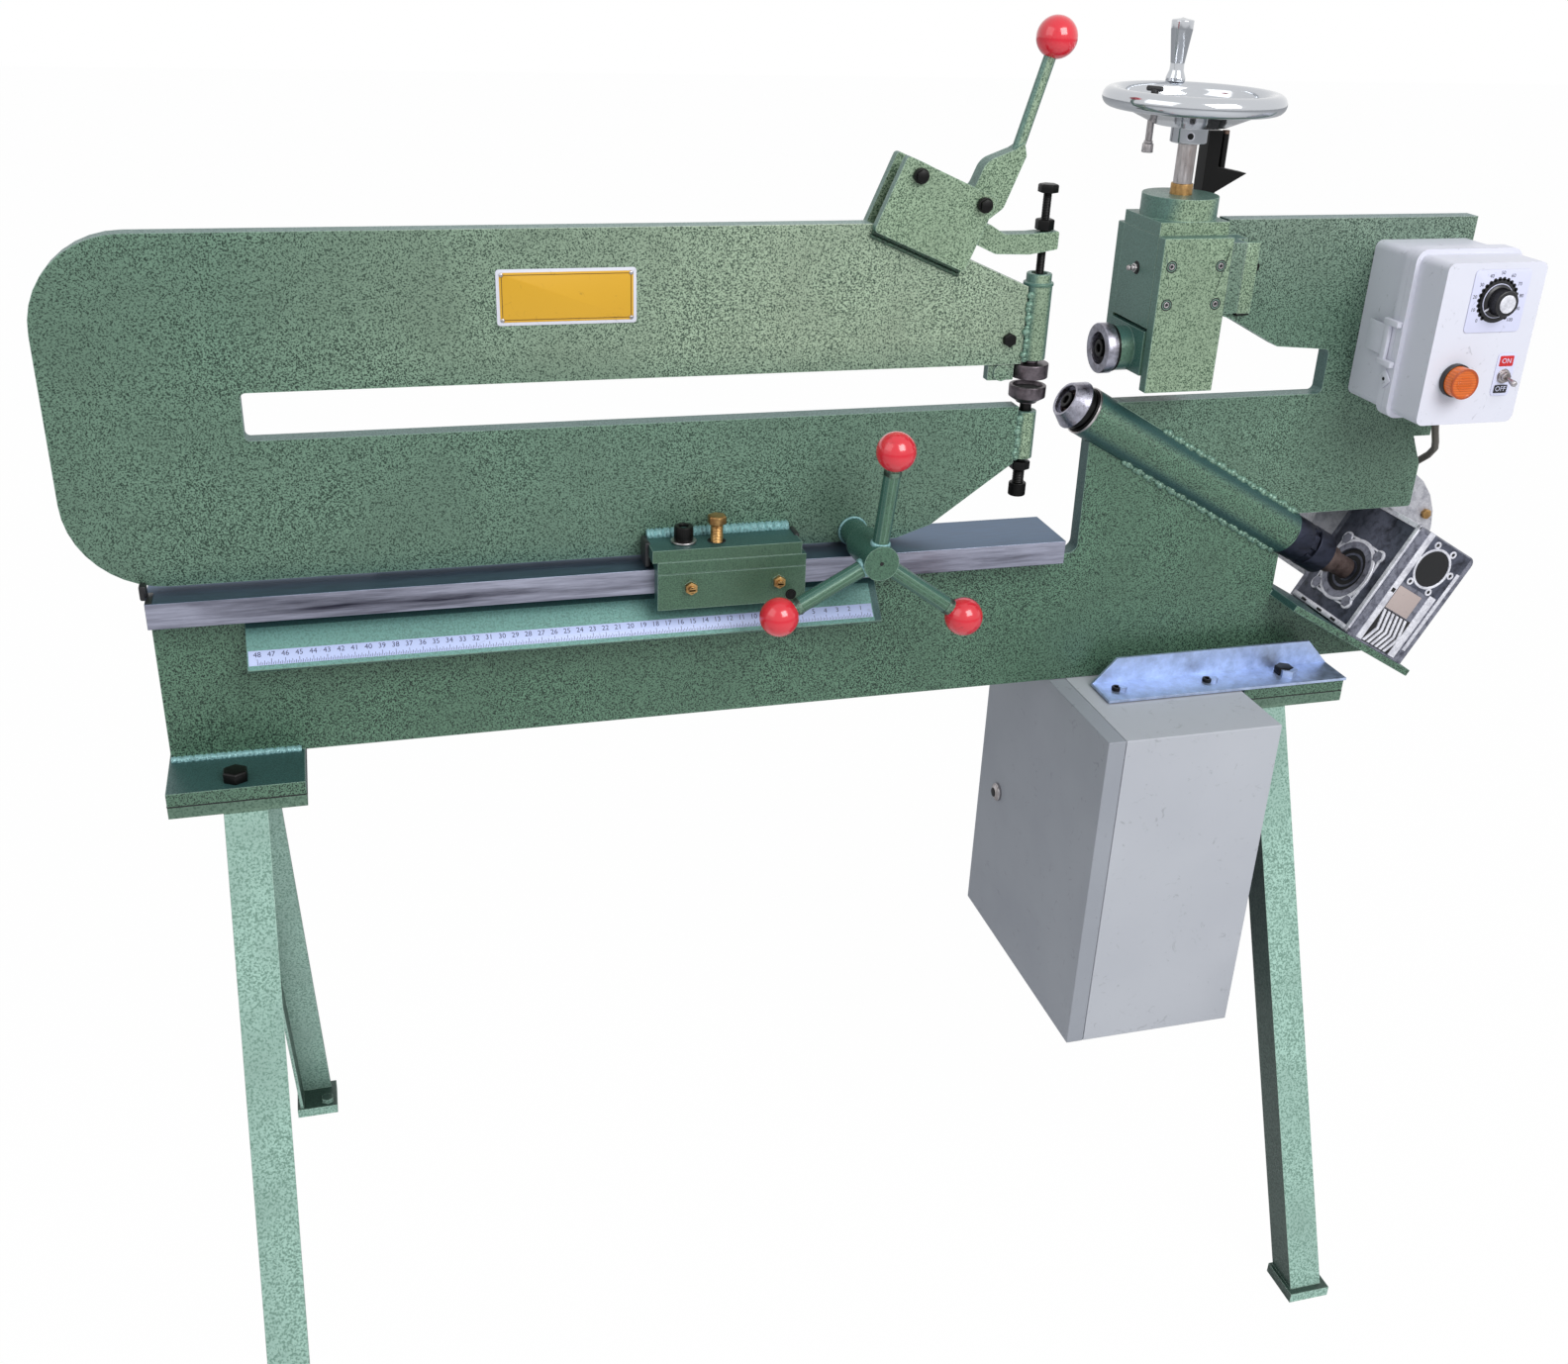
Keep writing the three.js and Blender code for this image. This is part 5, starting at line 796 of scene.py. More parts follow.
@dataclass
class Bench:
    """Welded beam, upright plates, legs and rail."""

    flange_top: float = 699.2
    plate_front: float = -9.525
    stand_plates: tuple[Span, ...] = ((-2.0, 125.0), (1138.0, 1265.0))
    bolt_spots: tuple[Span, ...] = ((61.1, -59.3), (61.1, 59.3), (1201.5, 59.0))

    def build(self, shop: Workshop) -> None:
        """Dress the welded plates; add weld beads, dark joints, bolts and the black rail stop."""
        # The base plate takes the darker enamel: painted shade.
        shop.dress(ENAMEL_SHADED, 0.8, "base_plate")
        shop.dress(ENAMEL_HEAD, 0.8, "head_plate")
        shop.dress(ENAMEL_PALE, 0.8, "left_stand", "right_stand")
        shop.dress(RAIL_STEEL, 0.5, "slide_rail")
        shop.dress(BRIGHT_STEEL, 0.15, "rack")
        form = Form()
        for x, length in ((0, 122), (1138, 124)):
            form.add(bead(length, 4.8, 5), at(x, self.plate_front - 1, self.flange_top) @ ALONG_X)
        shop.keep(form, "plate_weld_beads", WELD)
        self.seams(shop)
        form = Form()
        for x, y in self.bolt_spots:
            form.add(domed_hexagon(12.6, 0, 9.6), at(x, y, self.flange_top))
        shop.keep(form, "stand_bolts", DARK_STEEL)
        shop.keep(Form(block((0.4, -37.4, 871), (6.6, -10.4, 877.6), 1.6),
                       block((-5, -22, 873), (1.8, -10.4, 888), 2)), "rail_end_stop", BLACK)

    def seams(self, shop: Workshop) -> None:
        """Add the dark joints between the base flanges and the stands' plates."""
        form = Form()
        for low, high in self.stand_plates:
            for y in (-77.15, 77.15):
                form.add(block((low + 0.6, y - 0.15, 684.7), (high - 0.6, y + 0.15, 685.9), 0))
            for x in (low - 0.15, high + 0.15):
                form.add(block((x - 0.15, -76.4, 684.7), (x + 0.15, 76.4, 685.9), 0))
        shop.keep(form, "stand_seams", SHADOW, slot=Slot.BLACK)


@dataclass
class Tape:
    """Self-adhesive scale on the beam's sloping ledge, numbered down from left to right."""

    left: float = 92.4
    right: float = 689.3
    first: int = 48
    low: float = 5.0
    width: float = 15.0

    def build(self, shop: Workshop) -> None:
        """Lay the tape and print its marks, on a frame whose X runs along it and Z out of it."""
        place = at(0, -50.5, 807.2) @ spin(45, "X")
        coat = block((self.left - 9, 0.6, 0.01), (self.right + 13, 43.2, 0.045), 0)
        shop.keep(coat, "scale_ledge_coat", ENAMEL_LEDGE, place=place)
        strip = block((self.left - 8, self.low, 0.05), (self.right + 12, self.low + self.width, 0.35), 0.1)
        shop.keep(strip, "scale_tape", TAPE_PAPER, place=place)
        marks = Form()
        step = (self.right - self.left) / (self.first - 1)
        for index in range(self.first):
            spot = self.left + step * index
            marks.add(lettering(str(self.first - index), 5.2, 0.05), at(spot, self.low + 10.6, 0.4))
            for part in range(8):
                tall = {0: 6, 4: 4.4}.get(part, 3.4 if part % 2 == 0 else 2.4)
                x = spot + step * part / 8
                if x < self.right + 10:
                    foot = self.low + 0.3
                    marks.add(block((x - 0.22, foot, 0.34), (x + 0.22, foot + tall, 0.42), 0))
        shop.keep(marks, "scale_marks", INK, place=place)


@dataclass
class Nameplate:
    """Bare yellow plate with four rivets on the C plate."""

    left: float = 332.0
    right: float = 461.0
    low: float = 1115.0
    high: float = 1166.0
    face: float = -9.525

    def build(self, shop: Workshop) -> None:
        """Make the plate, its border and its rivets."""
        left, right, low, high, face = self.left, self.right, self.low, self.high, self.face
        shop.keep(slab(sheet(left, low, right, high, 3), face - 0.8, 0.75, 0.2), "blank_plate", WHITE,
                  Body.C_FRAME)
        inner = sheet(left + 3, low + 3, right - 3, high - 3, 2)
        shop.keep(slab(inner, face - 1, 0.3, 0.1), "blank_plate_field", YELLOW, Body.C_FRAME)
        line = Form()
        for x in (left + 5.2, right - 5.2):
            line.add(block((x - 0.3, face - 1.15, low + 5), (x + 0.3, face - 0.95, high - 5), 0))
        for z in (low + 5.2, high - 5.2):
            line.add(block((left + 5, face - 1.15, z - 0.3), (right - 5, face - 0.95, z + 0.3), 0))
        shop.keep(line, "blank_plate_border", BROWN_INK, Body.C_FRAME)
        rivets = Form()
        for x in (left + 5, right - 5):
            for z in (low + 5, high - 5):
                dome = ball(2, 20)
                bmesh.ops.scale(dome, vec=(1, 1, 0.55), verts=dome.verts)
                rivets.add(dome, front(x, face - 1.1, z))
        shop.keep(rivets, "blank_plate_rivets", BRIGHT_STEEL, Body.C_FRAME)


@dataclass
class Carriage:
    """Shelf, saddle and keepers that slide on the rail."""

    shelf_top: float = 902.1
    lock_spot: Span = (535.5, -35.8)

    def build(self, shop: Workshop) -> None:
        """Dress the plates and add screws, beads, wipers and the lock bolt."""
        shop.dress(ENAMEL, 1, "c_frame_plate")
        shop.dress(ENAMEL_WORN, 0.5, "carriage_shelf", "carriage_saddle", "front_keeper", "rear_guide")
        spot = at(502.5, -33.8, self.shelf_top)
        shop.keep(cap_screw(9.4, 14.5), "shelf_cap_screw", DARK_STEEL, Body.C_FRAME,
                  place=spot @ at(0, 0, 2.6))
        shop.keep(tube(12.8, 6, 0.2, 2.6, 0.6), "shelf_washer", BRIGHT_STEEL, Body.C_FRAME, place=spot)
        shop.keep(bead(146, 7.4, 4), "shelf_weld_bead", WELD, Body.C_FRAME,
                  place=at(469.5, -11.4, self.shelf_top + 0.4) @ ALONG_X)
        screws = Form()
        for x in (505.5, 595.5):
            screws.add(slotted_screw(6.6, 9), front(x, -54.5, 862))
        shop.keep(screws, "keeper_screws", BRASS, Body.C_FRAME)
        wipers = [block((x, -35, 878), (x + 5.6, -12, 903.6), 1.6) for x in (463.6, 615.9)]
        shop.keep(Form(*wipers), "saddle_wipers", BLACK, Body.C_FRAME)
        fixings = Form()
        fixings.add(tube(5.6, 3.6, -0.3, 0.5, 0.2, 36), front(606, -63.6, 850.7))
        fixings.add(rod(3.7, -0.3, 0.12, 0.05, 28), front(606, -63.6, 850.7))
        fixings.add(domed_hexagon(7.2, -0.2, 4.6), front(839.2, -9.5, 1086.7))
        shop.keep(fixings, "carriage_dark_fixings", DARK_STEEL, Body.C_FRAME)
        here = at(*self.lock_spot, 0)
        shop.keep(Form(threaded(6.3, 889.8, 922, 1.6), domed_hexagon(9.8, 920.4, 928)), "lock_bolt_brass",
                  BRASS, Body.LOCK_BOLT, "lock_bolt", place=here)
        # A dark ring in the hole round the bolt: painted shade.
        rim = tube(9.2, 7.4, self.shelf_top - 0.2, self.shelf_top + 0.35, 0.1)
        shop.keep(rim, "lock_bolt_hole_shade", SHADOW, Body.C_FRAME, place=here)


@dataclass
class Capstan:
    """Three-spoke hand capstan with red balls."""

    x: float = 685.5
    z: float = 893.5
    hub_front: float = -105.0
    spoke_y: float = -92.0
    rake: float = 5.0
    angles: tuple[float, ...] = (86.0, 206.0, 325.0)
    reach: float = 113.7
    ball: float = 19.5

    def build(self, shop: Workshop) -> None:
        """Make the balls and the spokes' collars and dress the hub."""
        shop.dress(ENAMEL_HAND, 0.8, "capstan")
        roots, collars = Form(), Form()
        for index, angle in enumerate(self.angles, 1):
            turn = at(self.x, self.spoke_y, self.z) @ spin(-angle, "Y") @ spin(-self.rake) @ ALONG_X
            shop.keep(turned(self.ball_line(), 48), f"capstan_ball_{index}", RED, Body.CAPSTAN,
                      f"capstan_knob_{index}", place=turn)
            roots.add(tube(10, 7, 14.5, 19.6, 2, 32), turn)
            collars.add(tube(8.85, 7.8, self.reach - 24, self.reach - 18.9, 0.4, 40), turn)
        roots.add(tube(15.6, 13, 9.9, 13.4, 1.2, 56), front(self.x, 0, self.z))
        shop.keep(roots, "capstan_weld_beads", WELD, Body.CAPSTAN)
        shop.keep(collars, "capstan_spoke_collars", ENAMEL_PALE, Body.CAPSTAN)
        # A dark disc in the hub's centre hole: painted shade.
        shop.keep(rod(2.1, 0, 0.2, 0.05, 20), "capstan_centre_hole_shade", SHADOW, Body.CAPSTAN,
                  place=front(self.x, self.hub_front, self.z))

    def ball_line(self) -> Profile:
        """Return the ball's profile with its flat foot."""
        foot = [(0, self.reach - 18.6), (7.2, self.reach - 18.6), (7.8, self.reach - 17.9)]
        arc = [(self.ball * math.sin(angle), self.reach - self.ball * math.cos(angle))
               for angle in (math.pi * step / 36 for step in range(3, 37))]
        return foot + [p for p in arc if p[1] > self.reach - 17.6] + [(0, self.reach + self.ball)]


@dataclass
class Clamp:
    """Cam lever, arm and cheeks above the quill."""

    pivots: tuple[Span, Span] = ((728.71, 1247.36), (795.38, 1220.15))
    face: float = -19.3
    ball: float = 19.5

    def build(self, shop: Workshop) -> None:
        """Dress the arm, lever and cheeks; add the ball, pivots and beads."""
        shop.dress(ENAMEL_LIT, 0.8, "front_cheek", "rear_cheek", "clamp_arm")
        shop.dress(ENAMEL_LIT, 1, "cam_lever")
        low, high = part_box("lever_knob")
        middle = (low + high) / 2 * 1000
        shop.keep(ball(self.ball, 56), "lever_ball", RED, Body.CAM_LEVER, "lever_knob",
                  place=at(middle.x + MIDDLE_X, middle.y, middle.z))
        heads = Form()
        for x, z in self.pivots:
            heads.add(rod(7.3, -0.1, 6.3, 0.8, 40), front(x, self.face, z))
            heads.add(hexagon(6.3, 6.2, 9.2, 0.6), front(x, self.face, z))
        shop.keep(heads, "pivot_bolt_heads", DARK_STEEL, Body.C_FRAME)
        welds = Form()
        for side in (-1, 1):
            for drop, radius in ((0.4, 2.6), (-4.2, 2.2)):
                spot = CLAMP @ at(1.5, side * (11.6 + 0.3 * drop), drop - 1) @ ALONG_X
                welds.add(bead(100, radius, 3.2), spot)
        shop.keep(welds, "cheek_weld_beads", WELD_DARK, Body.C_FRAME)


@dataclass
class Quill:
    """Centre clamp: tubes, discs, jack screw and adjusting bolt."""

    x: float = 869.5

    def build(self, shop: Workshop) -> None:
        """Make the turned pieces of the centre clamp."""
        here = at(self.x, 0, 0)
        shop.dress(HOT_STEEL, 0.4, "upper_spindle")
        upper = lathe([(8.3, 1064.5), (14.3, 1064.5, 0.8), (14.3, 1141.5, 0.8), (12.7, 1141.9),
                       (12.7, 1150.5, 1), (8.3, 1150.5)], 56, True, 0.3, 3)
        shop.keep(upper, "upper_quill", ENAMEL_LIT, Body.C_FRAME, "upper_quill_tube", place=here)
        lower = lathe([(7, 960.1), (11.6, 960.1, 0.8), (11.6, 1010.5, 0.8), (7, 1010.5)], 56, True, 0.3, 3)
        shop.keep(lower, "lower_quill", ENAMEL_LIT, Body.C_FRAME, "lower_quill_tube", place=here)
        self.beads(shop)
        self.discs(shop, here)
        self.screws(shop, here)

    def beads(self, shop: Workshop) -> None:
        """Lay the pale beads that join both tubes to the plate."""
        form = Form()
        for low, high, reach in ((1066, 1136, 14.3), (962, 1008, 11.6)):
            for step in range(round((high - low) / 4.6)):
                x, z = self.x - reach * 0.84 - 0.8 * math.sin(1.3 * step), low + 4.6 * step
                for side in (-1, 1):
                    form.add(ball(3.1 + 1.1 * math.sin(2.3 * step), 14), at(x, side * reach * 0.74, z))
        shop.keep(form, "quill_weld_beads", WELD_GREEN, Body.C_FRAME)
        shop.keep(tube(15.2, 14, 1138.6, 1141.6, 0.6, 56), "quill_collar", ENAMEL_SMOOTH, Body.C_FRAME,
                  place=at(self.x, 0, 0))

    def discs(self, shop: Workshop, here: Matrix) -> None:
        """Make the two clamp discs: a plain one over a cup whose hollow is darkened with painted shade."""
        top = lathe([(0, 1046.4), (12, 1046.2), (12.4, 1045.8), (19.05, 1045.8, 0.7), (19.05, 1060.2, 1),
                     (0, 1060.2)], 72)
        shop.keep(top, "upper_clamp_pad", HOT_STEEL, Body.UPPER_DISC, "upper_clamp_disc", place=here)
        low = lathe([(0, 1019), (10.5, 1019, 0.8), (10.9, 1020.4, 0.6), (18.9, 1025.4, 0.8),
                     (19.05, 1037.2, 0.7), (15.6, 1037.2, 0.4), (14.4, 1033.4), (0, 1033.2)], 72)
        shop.keep(low, "lower_clamp_pad", HOT_STEEL, Body.LOWER_DISC, "lower_clamp_disc", place=here)
        # A dark disc in the cup's hollow: painted shade.
        shop.keep(rod(14.3, 1033, 1033.7, 0.1, 56), "lower_clamp_hollow_shade", SHADOW, Body.LOWER_DISC, place=here)

    def screws(self, shop: Workshop, here: Matrix) -> None:
        """Make the jack screw with its nut and knurled head, and the adjusting bolt with its lock nut."""
        head = lathe([(0, 918.3), (9.1, 918.3, 1.2), (9.1, 932.3, 1.2), (0, 932.3)], 40)
        sides = [f for f in head.faces if abs(f.normal.z) < 0.3]
        bmesh.ops.inset_individual(head, faces=sides, thickness=0.18, depth=-0.35)
        form = Form(threaded(6.2, 932, 1010, 1.8), rod(6, 1009, 1019.2, 0.4),
                    hexagon(11.1, 947.3, 956.3, 1), head)
        shop.keep(form, "jack_screw_turned", DARK_STEEL, Body.JACK, "jack_screw", place=here)
        form = Form(threaded(4.3, 1142.2, 1229, 1.5), domed_hexagon(9.6, 1192.6, 1202),
                    domed_hexagon(10.3, 1228.1, 1235))
        shop.keep(form, "adjusting_bolt_turned", DARK_STEEL, Body.ADJUSTER, "adjusting_bolt", place=here)


@dataclass
class CuttingHead:
    """Head block, cap, slide and upper cutter."""

    x: float = 1013.7
    face: float = -50.8
    left: float = 975.6
    cutter_z: float = 1072.2

    def build(self, shop: Workshop) -> None:
        """Dress the head and make its turned parts and fixings."""
        shop.dress(ENAMEL_LIT, 0.9, "head_core", "head_front_plate", "head_back_plate", "head_cap")
        shop.dress(ENAMEL_SMOOTH, 0.8, "cutter_slide")
        self.screws(shop)
        self.nipple(shop)
        self.key(shop)
        shop.dress(DARK_STEEL, 0.6, "depth_stop")
        shop.keep(rod(3.8, 1226, 1281, 0.5, 28), "depth_stop_rod", WORN_STEEL, place=at(1077.6, 40, 0))
        self.cutter(shop)
        shop.keep(tube(11, 9, 1198.6, 1236, 0.8, 56), "screw_bush_turned", BRASS, Body.FRAME, "screw_bush",
                  place=at(self.x, 0, 0))

    def screws(self, shop: Workshop) -> None:
        """Make the flush socket screws: a dark gap and a dark socket as painted shade, a green ring and a
        bright ring.
        """
        gap_and_socket_shade, rim, ring = Form(), Form(), Form()
        for x in (self.x - 27.05, self.x + 27.05):
            for z in (1126.6, 1164.1):
                spot = front(x, self.face, z)
                gap_and_socket_shade.add(tube(5.9, 4.8, -0.4, 0.14, 0.05, 44), spot)
                gap_and_socket_shade.add(tube(3.8, 2.8, -0.4, 0.2, 0.05, 40), spot)
                rim.add(tube(4.8, 3.8, -0.4, 0.26, 0.12, 44), spot)
                ring.add(tube(2.85, 1.7, -0.4, 0.4, 0.15, 40), spot)
                gap_and_socket_shade.add(rod(1.75, -0.4, 0.3, 0.05, 20), spot)
        shop.keep(rim, "head_screw_rims", ENAMEL_SMOOTH)
        # The gaps and sockets are dark as painted shade.
        shop.keep(gap_and_socket_shade, "head_screw_gap_shade", SHADOW)
        shop.keep(ring, "head_screw_rings", BRIGHT_STEEL)

    def nipple(self, shop: Workshop) -> None:
        """Make the grease nipple on the head's left face."""
        place = leftward(self.left, 0, 1153.4)
        tip = lathe([(0, 3), (3.3, 3), (3, 5.4, 0.5), (2.1, 6.2, 0.5), (3, 8.4, 0.7), (2, 10.4, 0.7),
                     (0, 10.8)], 28)
        shop.keep(Form(hexagon(4.9, 0, 3.2, 0.5), tip), "grease_nipple", BRIGHT_STEEL, place=place)
        # A dark ring round the nipple's foot: painted shade.
        shop.keep(tube(6.6, 4, -0.3, 0.3, 0.1, 32), "grease_nipple_seat_shade", SHADOW, place=place)

    def key(self, shop: Workshop) -> None:
        """Add the narrow key plate beside the head, a painted shadow along its left and lower edges, and its
        half-hidden screw.
        """
        shop.keep(block((1089.6, -13.6, 1106.2), (1105.4, -9.2, 1179.2), 0.9), "head_key_plate", ENAMEL_LIT)
        # Dark strips along the key plate's left and lower edges: painted shadow.
        shadow_strips_and_screw = Form(block((1087.9, -14.1, 1104.8), (1089.7, -9.2, 1178.6), 0.2),
                     block((1087.9, -14.1, 1104.8), (1104, -9.2, 1106.4), 0.2))
        shadow_strips_and_screw.add(rod(5.8, 0, 1.4, 0.4, 32), front(1104, -9.4, 1153.6))
        shop.keep(shadow_strips_and_screw, "head_key_shadow_and_screw", DARK_STEEL)

    def cutter(self, shop: Workshop) -> None:
        """Make the upper cutter, its spacer ring, shaft collar and tail bolt."""
        place = at(0, 0, self.cutter_z) @ ALONG_X
        disc = lathe([(15.4, 950.4), (16.4, 943.8, 0.4), (17, 943.3), (25, 943.3, 0.3), (25.6, 944.4),
                      (25.6, 954.3, 0.25), (9.8, 954.3), (9.8, 950.4)], 96, True, 0, 3)
        shop.keep(disc, "upper_cutter_disc", CUTTER_STEEL, Body.UPPER_CUTTER, "upper_cutter", place=place)
        form = Form(rod(9.6, 949, 1050.4, 0.4), tube(24, 9.4, 954.6, 958.6, 0.5, 80),
                    tube(15, 6, 1052.2, 1055.2, 0.5, 48), rod(6.4, 1050, 1066, 0.3),
                    domed_hexagon(9.6, 1055.2, 1064.2), threaded(4.8, 1060, 1072.7, 1.5),
                    tube(15.3, 8, 949.4, 950.6, 0.2, 56))
        form.add(cap_screw(8.6, 5.4), at(0, 0, 949.6) @ spin(180, "X"))
        shop.keep(form, "upper_cutter_shaft", DARK_STEEL, Body.UPPER_CUTTER, "upper_shaft", place=place)
        shop.keep(tube(24.6, 22, 954.4, 955.4, 0.2, 80), "upper_cutter_back_ring", CUTTER_STEEL,
                  Body.UPPER_CUTTER, place=place)


@dataclass
class Handwheel:
    """Polished handwheel with its handle, screw and index plunger."""

    x: float = 1013.7
    rim: float = 79.0
    rim_z: float = 1314.4
    rim_radius: float = 9.4
    handle_spot: Span = (1033.2, 78.0)
    plunger_spot: Span = (983.8, 25.1)

    def build(self, shop: Workshop) -> None:
        """Make the wheel, handle, plunger and screw."""
        here = at(self.x, 0, 0)
        ring = rounded([(9.6, 1274.5, 0.6), (18, 1274.5, 1.2), (18, 1289.5, 1), (36, 1291, 3),
                        (71.5, 1306.4, 2)], 0, False)
        for angle in (math.radians(-118 + step * 12.5) for step in range(25)):
            ring.append((self.rim + self.rim_radius * math.cos(angle),
                         self.rim_z + self.rim_radius * math.sin(angle)))
        ring += rounded([(66, 1308.5), (60, 1306, 5), (34, 1296.6, 4), (16, 1296.5, 1),
                         (14.5, 1300, 1), (9.6, 1300, 0.6)], 0, False)
        shop.keep(turned(ring, 144, True), "handwheel_casting", POLISHED, Body.WHEEL, "handwheel", place=here,
                  smooth=40)
        turn = at(self.x, 0, 1282) @ spin(-24) @ spin(90, "X")
        # The hole's rim takes the brightened machined finish: painted highlight.
        shop.keep(tube(4.2, 3, 17.2, 18.4, 0.3, 36), "hub_screw_rim", MACHINED_HIGHLIGHT, Body.WHEEL, place=turn,
                  slot=Slot.POLISHED)
        # The set screw's dark coat: its own black, deepened as painted shade in its hole.
        shop.keep(rod(3, 17.2, 18.2, 0.2, 28), "hub_set_screw", SHADOW, Body.WHEEL, place=turn)
        grip = lathe([(0, 1323.4), (9.8, 1323.4, 1), (9.8, 1327, 1.5), (7.2, 1334, 6), (7, 1341, 8),
                      (11, 1373, 16), (11.2, 1381.2, 1.4), (0, 1383.3)], 56, arc=8)
        shop.keep(grip, "handwheel_grip", POLISHED, Body.HANDLE, "handwheel_handle",
                  place=at(*self.handle_spot, 0))
        self.plunger(shop)
        screw = Form(rod(9.3, 1150, 1296.4, 0.8, 48), rod(13.8, 1131.5, 1137.5, 0.8, 48),
                     rod(9.3, 1135, 1152, 0.3, 48))
        shop.keep(screw, "lead_screw_turned", BRIGHT_STEEL, Body.WHEEL, "lead_screw", place=here)

    def plunger(self, shop: Workshop) -> None:
        """Make the index plunger with its black cross pull and bright tip."""
        place = at(*self.plunger_spot, 0)
        form = Form(rod(3.5, 1263, 1316, 0.5, 32), tube(5.6, 3, 1262, 1270.4, 0.9, 32),
                    rod(4.4, 1270, 1273, 0.6, 32), hexagon(5.8, 1261.6, 1264, 0.4))
        shop.keep(form, "index_plunger_pin", BRIGHT_STEEL, Body.PLUNGER, "index_plunger", place=place)
        pull = Form()
        pull.add(rod(2.6, -8.5, 8.5, 1.4, 28), place @ at(0, 0, 1321.4) @ spin(40) @ ALONG_Y)
        pull.add(rod(3.7, 1308, 1321, 1, 28), place)
        shop.keep(pull, "index_plunger_pull", BLACK, Body.PLUNGER)


@dataclass
class DriveLine:
    """Sloping lower spindle, coupling, gearbox and motor; built along the spindle's own line."""

    motor_axis: tuple[float, float, float] = (181, 0, 50)
    fins: int = 6
    fin_pitch: float = 7.0

    def build(self, shop: Workshop) -> None:
        """Make the turned parts, dress the castings and add their detail."""
        shop.dress(CASTING, 1, "gearbox_housing")
        shop.dress(PALE_CASTING, 1, "motor")
        shop.dress(BRONZE, 0.3, "worm_wheel")
        shop.dress(BRIGHT_STEEL, 0.2, "worm_shaft")
        place = DRIVE @ ALONG_X
        self.tube(shop, place)
        disc = lathe([(15.5, -303.6), (15.5, -308.8, 0.3), (16.2, -309.3, 0.2), (18.4, -309.3, 0.4),
                      (26.4, -295.2, 0.3), (26.4, -294.3), (13.2, -294.3), (13.2, -303.6)], 96, True, 0, 3)
        shop.keep(disc, "lower_cutter_disc", CUTTER_STEEL, Body.DRIVE_LINE, "lower_cutter", place=place)
        self.coupling(shop, place)
        self.gearbox(shop)
        self.motor(shop)

    def tube(self, shop: Workshop, place: Matrix) -> None:
        """Make the spindle's painted tube, its bright rim and its weld beads."""
        outer = lathe([(13.2, -268), (24.5, -268), (24.5, -281.6, 0.3), (25.9, -281.6, 0.5), (25.9, 25, 1.4),
                       (13.2, 25, 0.5)], 96, True)
        # The spindle tube takes the darker enamel: painted shade.
        shop.keep(outer, "lower_spindle_tube", ENAMEL_SHADED, Body.FRAME, "lower_tube", place=place)
        shop.keep(tube(26.1, 24.4, -283, -280.4, 0.4, 96), "lower_tube_rim", BRIGHT_STEEL, place=place)
        beads = Form()
        for side in (-1, 1):
            for low, rise in ((-190, 24.4), (-212, -24.4)):
                for step in range(round((22 - low) / 5.4)):
                    spot = at(low + 5.4 * step, side * 10.6, rise + 0.8 * math.sin(1.7 * step))
                    beads.add(ball(3.4 + 1.2 * math.sin(2.1 * step), 14), DRIVE @ spot)
        shop.keep(beads, "lower_tube_weld_beads", WELD_GREEN)

    def coupling(self, shop: Workshop, place: Matrix) -> None:
        """Make the spindle shaft with its spacer ring and the two-part jaw coupling."""
        shaft = Form(rod(12.5, -300, 27, 0.5, 64), rod(12.5, 84, 130, 0.5, 64),
                     tube(15.6, 12.4, 86, 104, 0.8, 64))
        shop.keep(shaft, "spindle_shaft", RUSTY_STEEL, Body.DRIVE_LINE, "drive_shaft", place=place)
        ring = Form()
        for low, high, wide in ((-294, -287.6, 24), (-287.6, -284.4, 21.6), (-284.4, -268.6, 24)):
            ring.add(tube(wide, 12.4, low, high, 0.6, 80))
        ring.add(cap_screw(8.4, 5), at(0, 0, -303.2) @ spin(180, "X"))
        shop.keep(ring, "spindle_spacer_ring", DARK_STEEL, Body.DRIVE_LINE, place=place)
        body = Form()
        for outer, inner, low, high, edge in ((24.5, 12.3, 25.7, 50.4, 1), (24.5, 12.3, 60.2, 84.9, 1),
                                              (20.6, 12.6, 49.6, 61, 0.2)):
            body.add(tube(outer, inner, low, high, edge, 80), ALONG_X)
        for turn in range(6):
            low, high = ((49.8, 58.6), (52, 60.8))[turn % 2]
            body.add(block((low, -8.2, 15.5), (high, 8.2, 23), 0.8), spin(60 * turn + 70, "X"))
        shop.keep(body, "jaw_coupling", COUPLING_STEEL, Body.DRIVE_LINE, "shaft_coupling", place=DRIVE)

    def gearbox(self, shop: Workshop) -> None:
        """Add the machined ridges brightened as painted highlight, dark recesses as painted shade, fins and
        bare label of the gearbox.
        """
        bright, dark, black = Form(), Form(), Form()
        self.output_side(bright, dark, black)
        self.front_side(bright, dark, black)
        shop.keep(bright, "gearbox_highlit_machined_edges", MACHINED_HIGHLIGHT, place=DRIVE)
        shop.keep(dark, "gearbox_dark_shaded_faces", DARK_SHADED_CASTING, place=DRIVE)
        shop.keep(black, "gearbox_black_caps_and_shade", SHADOW, place=DRIVE, slot=Slot.BLACK)
        shop.keep(block((156, -61.2, -12), (193, -60.5, 17), 0.3), "gearbox_blank_label", BEIGE, place=DRIVE)

    def output_side(self, bright: Form, dark: Form, black: Form) -> None:
        """Add the output flange: stepped dark seal, bright ring, four holed lugs and frame bars.

        Args:
            bright: Takes the machined edges, brightened as painted highlight.
            dark: Takes the dark casting faces, darkened as painted shade.
            black: Takes the seal, and the holes as painted shade.
        """
        face = leftward(135, 0, 0)
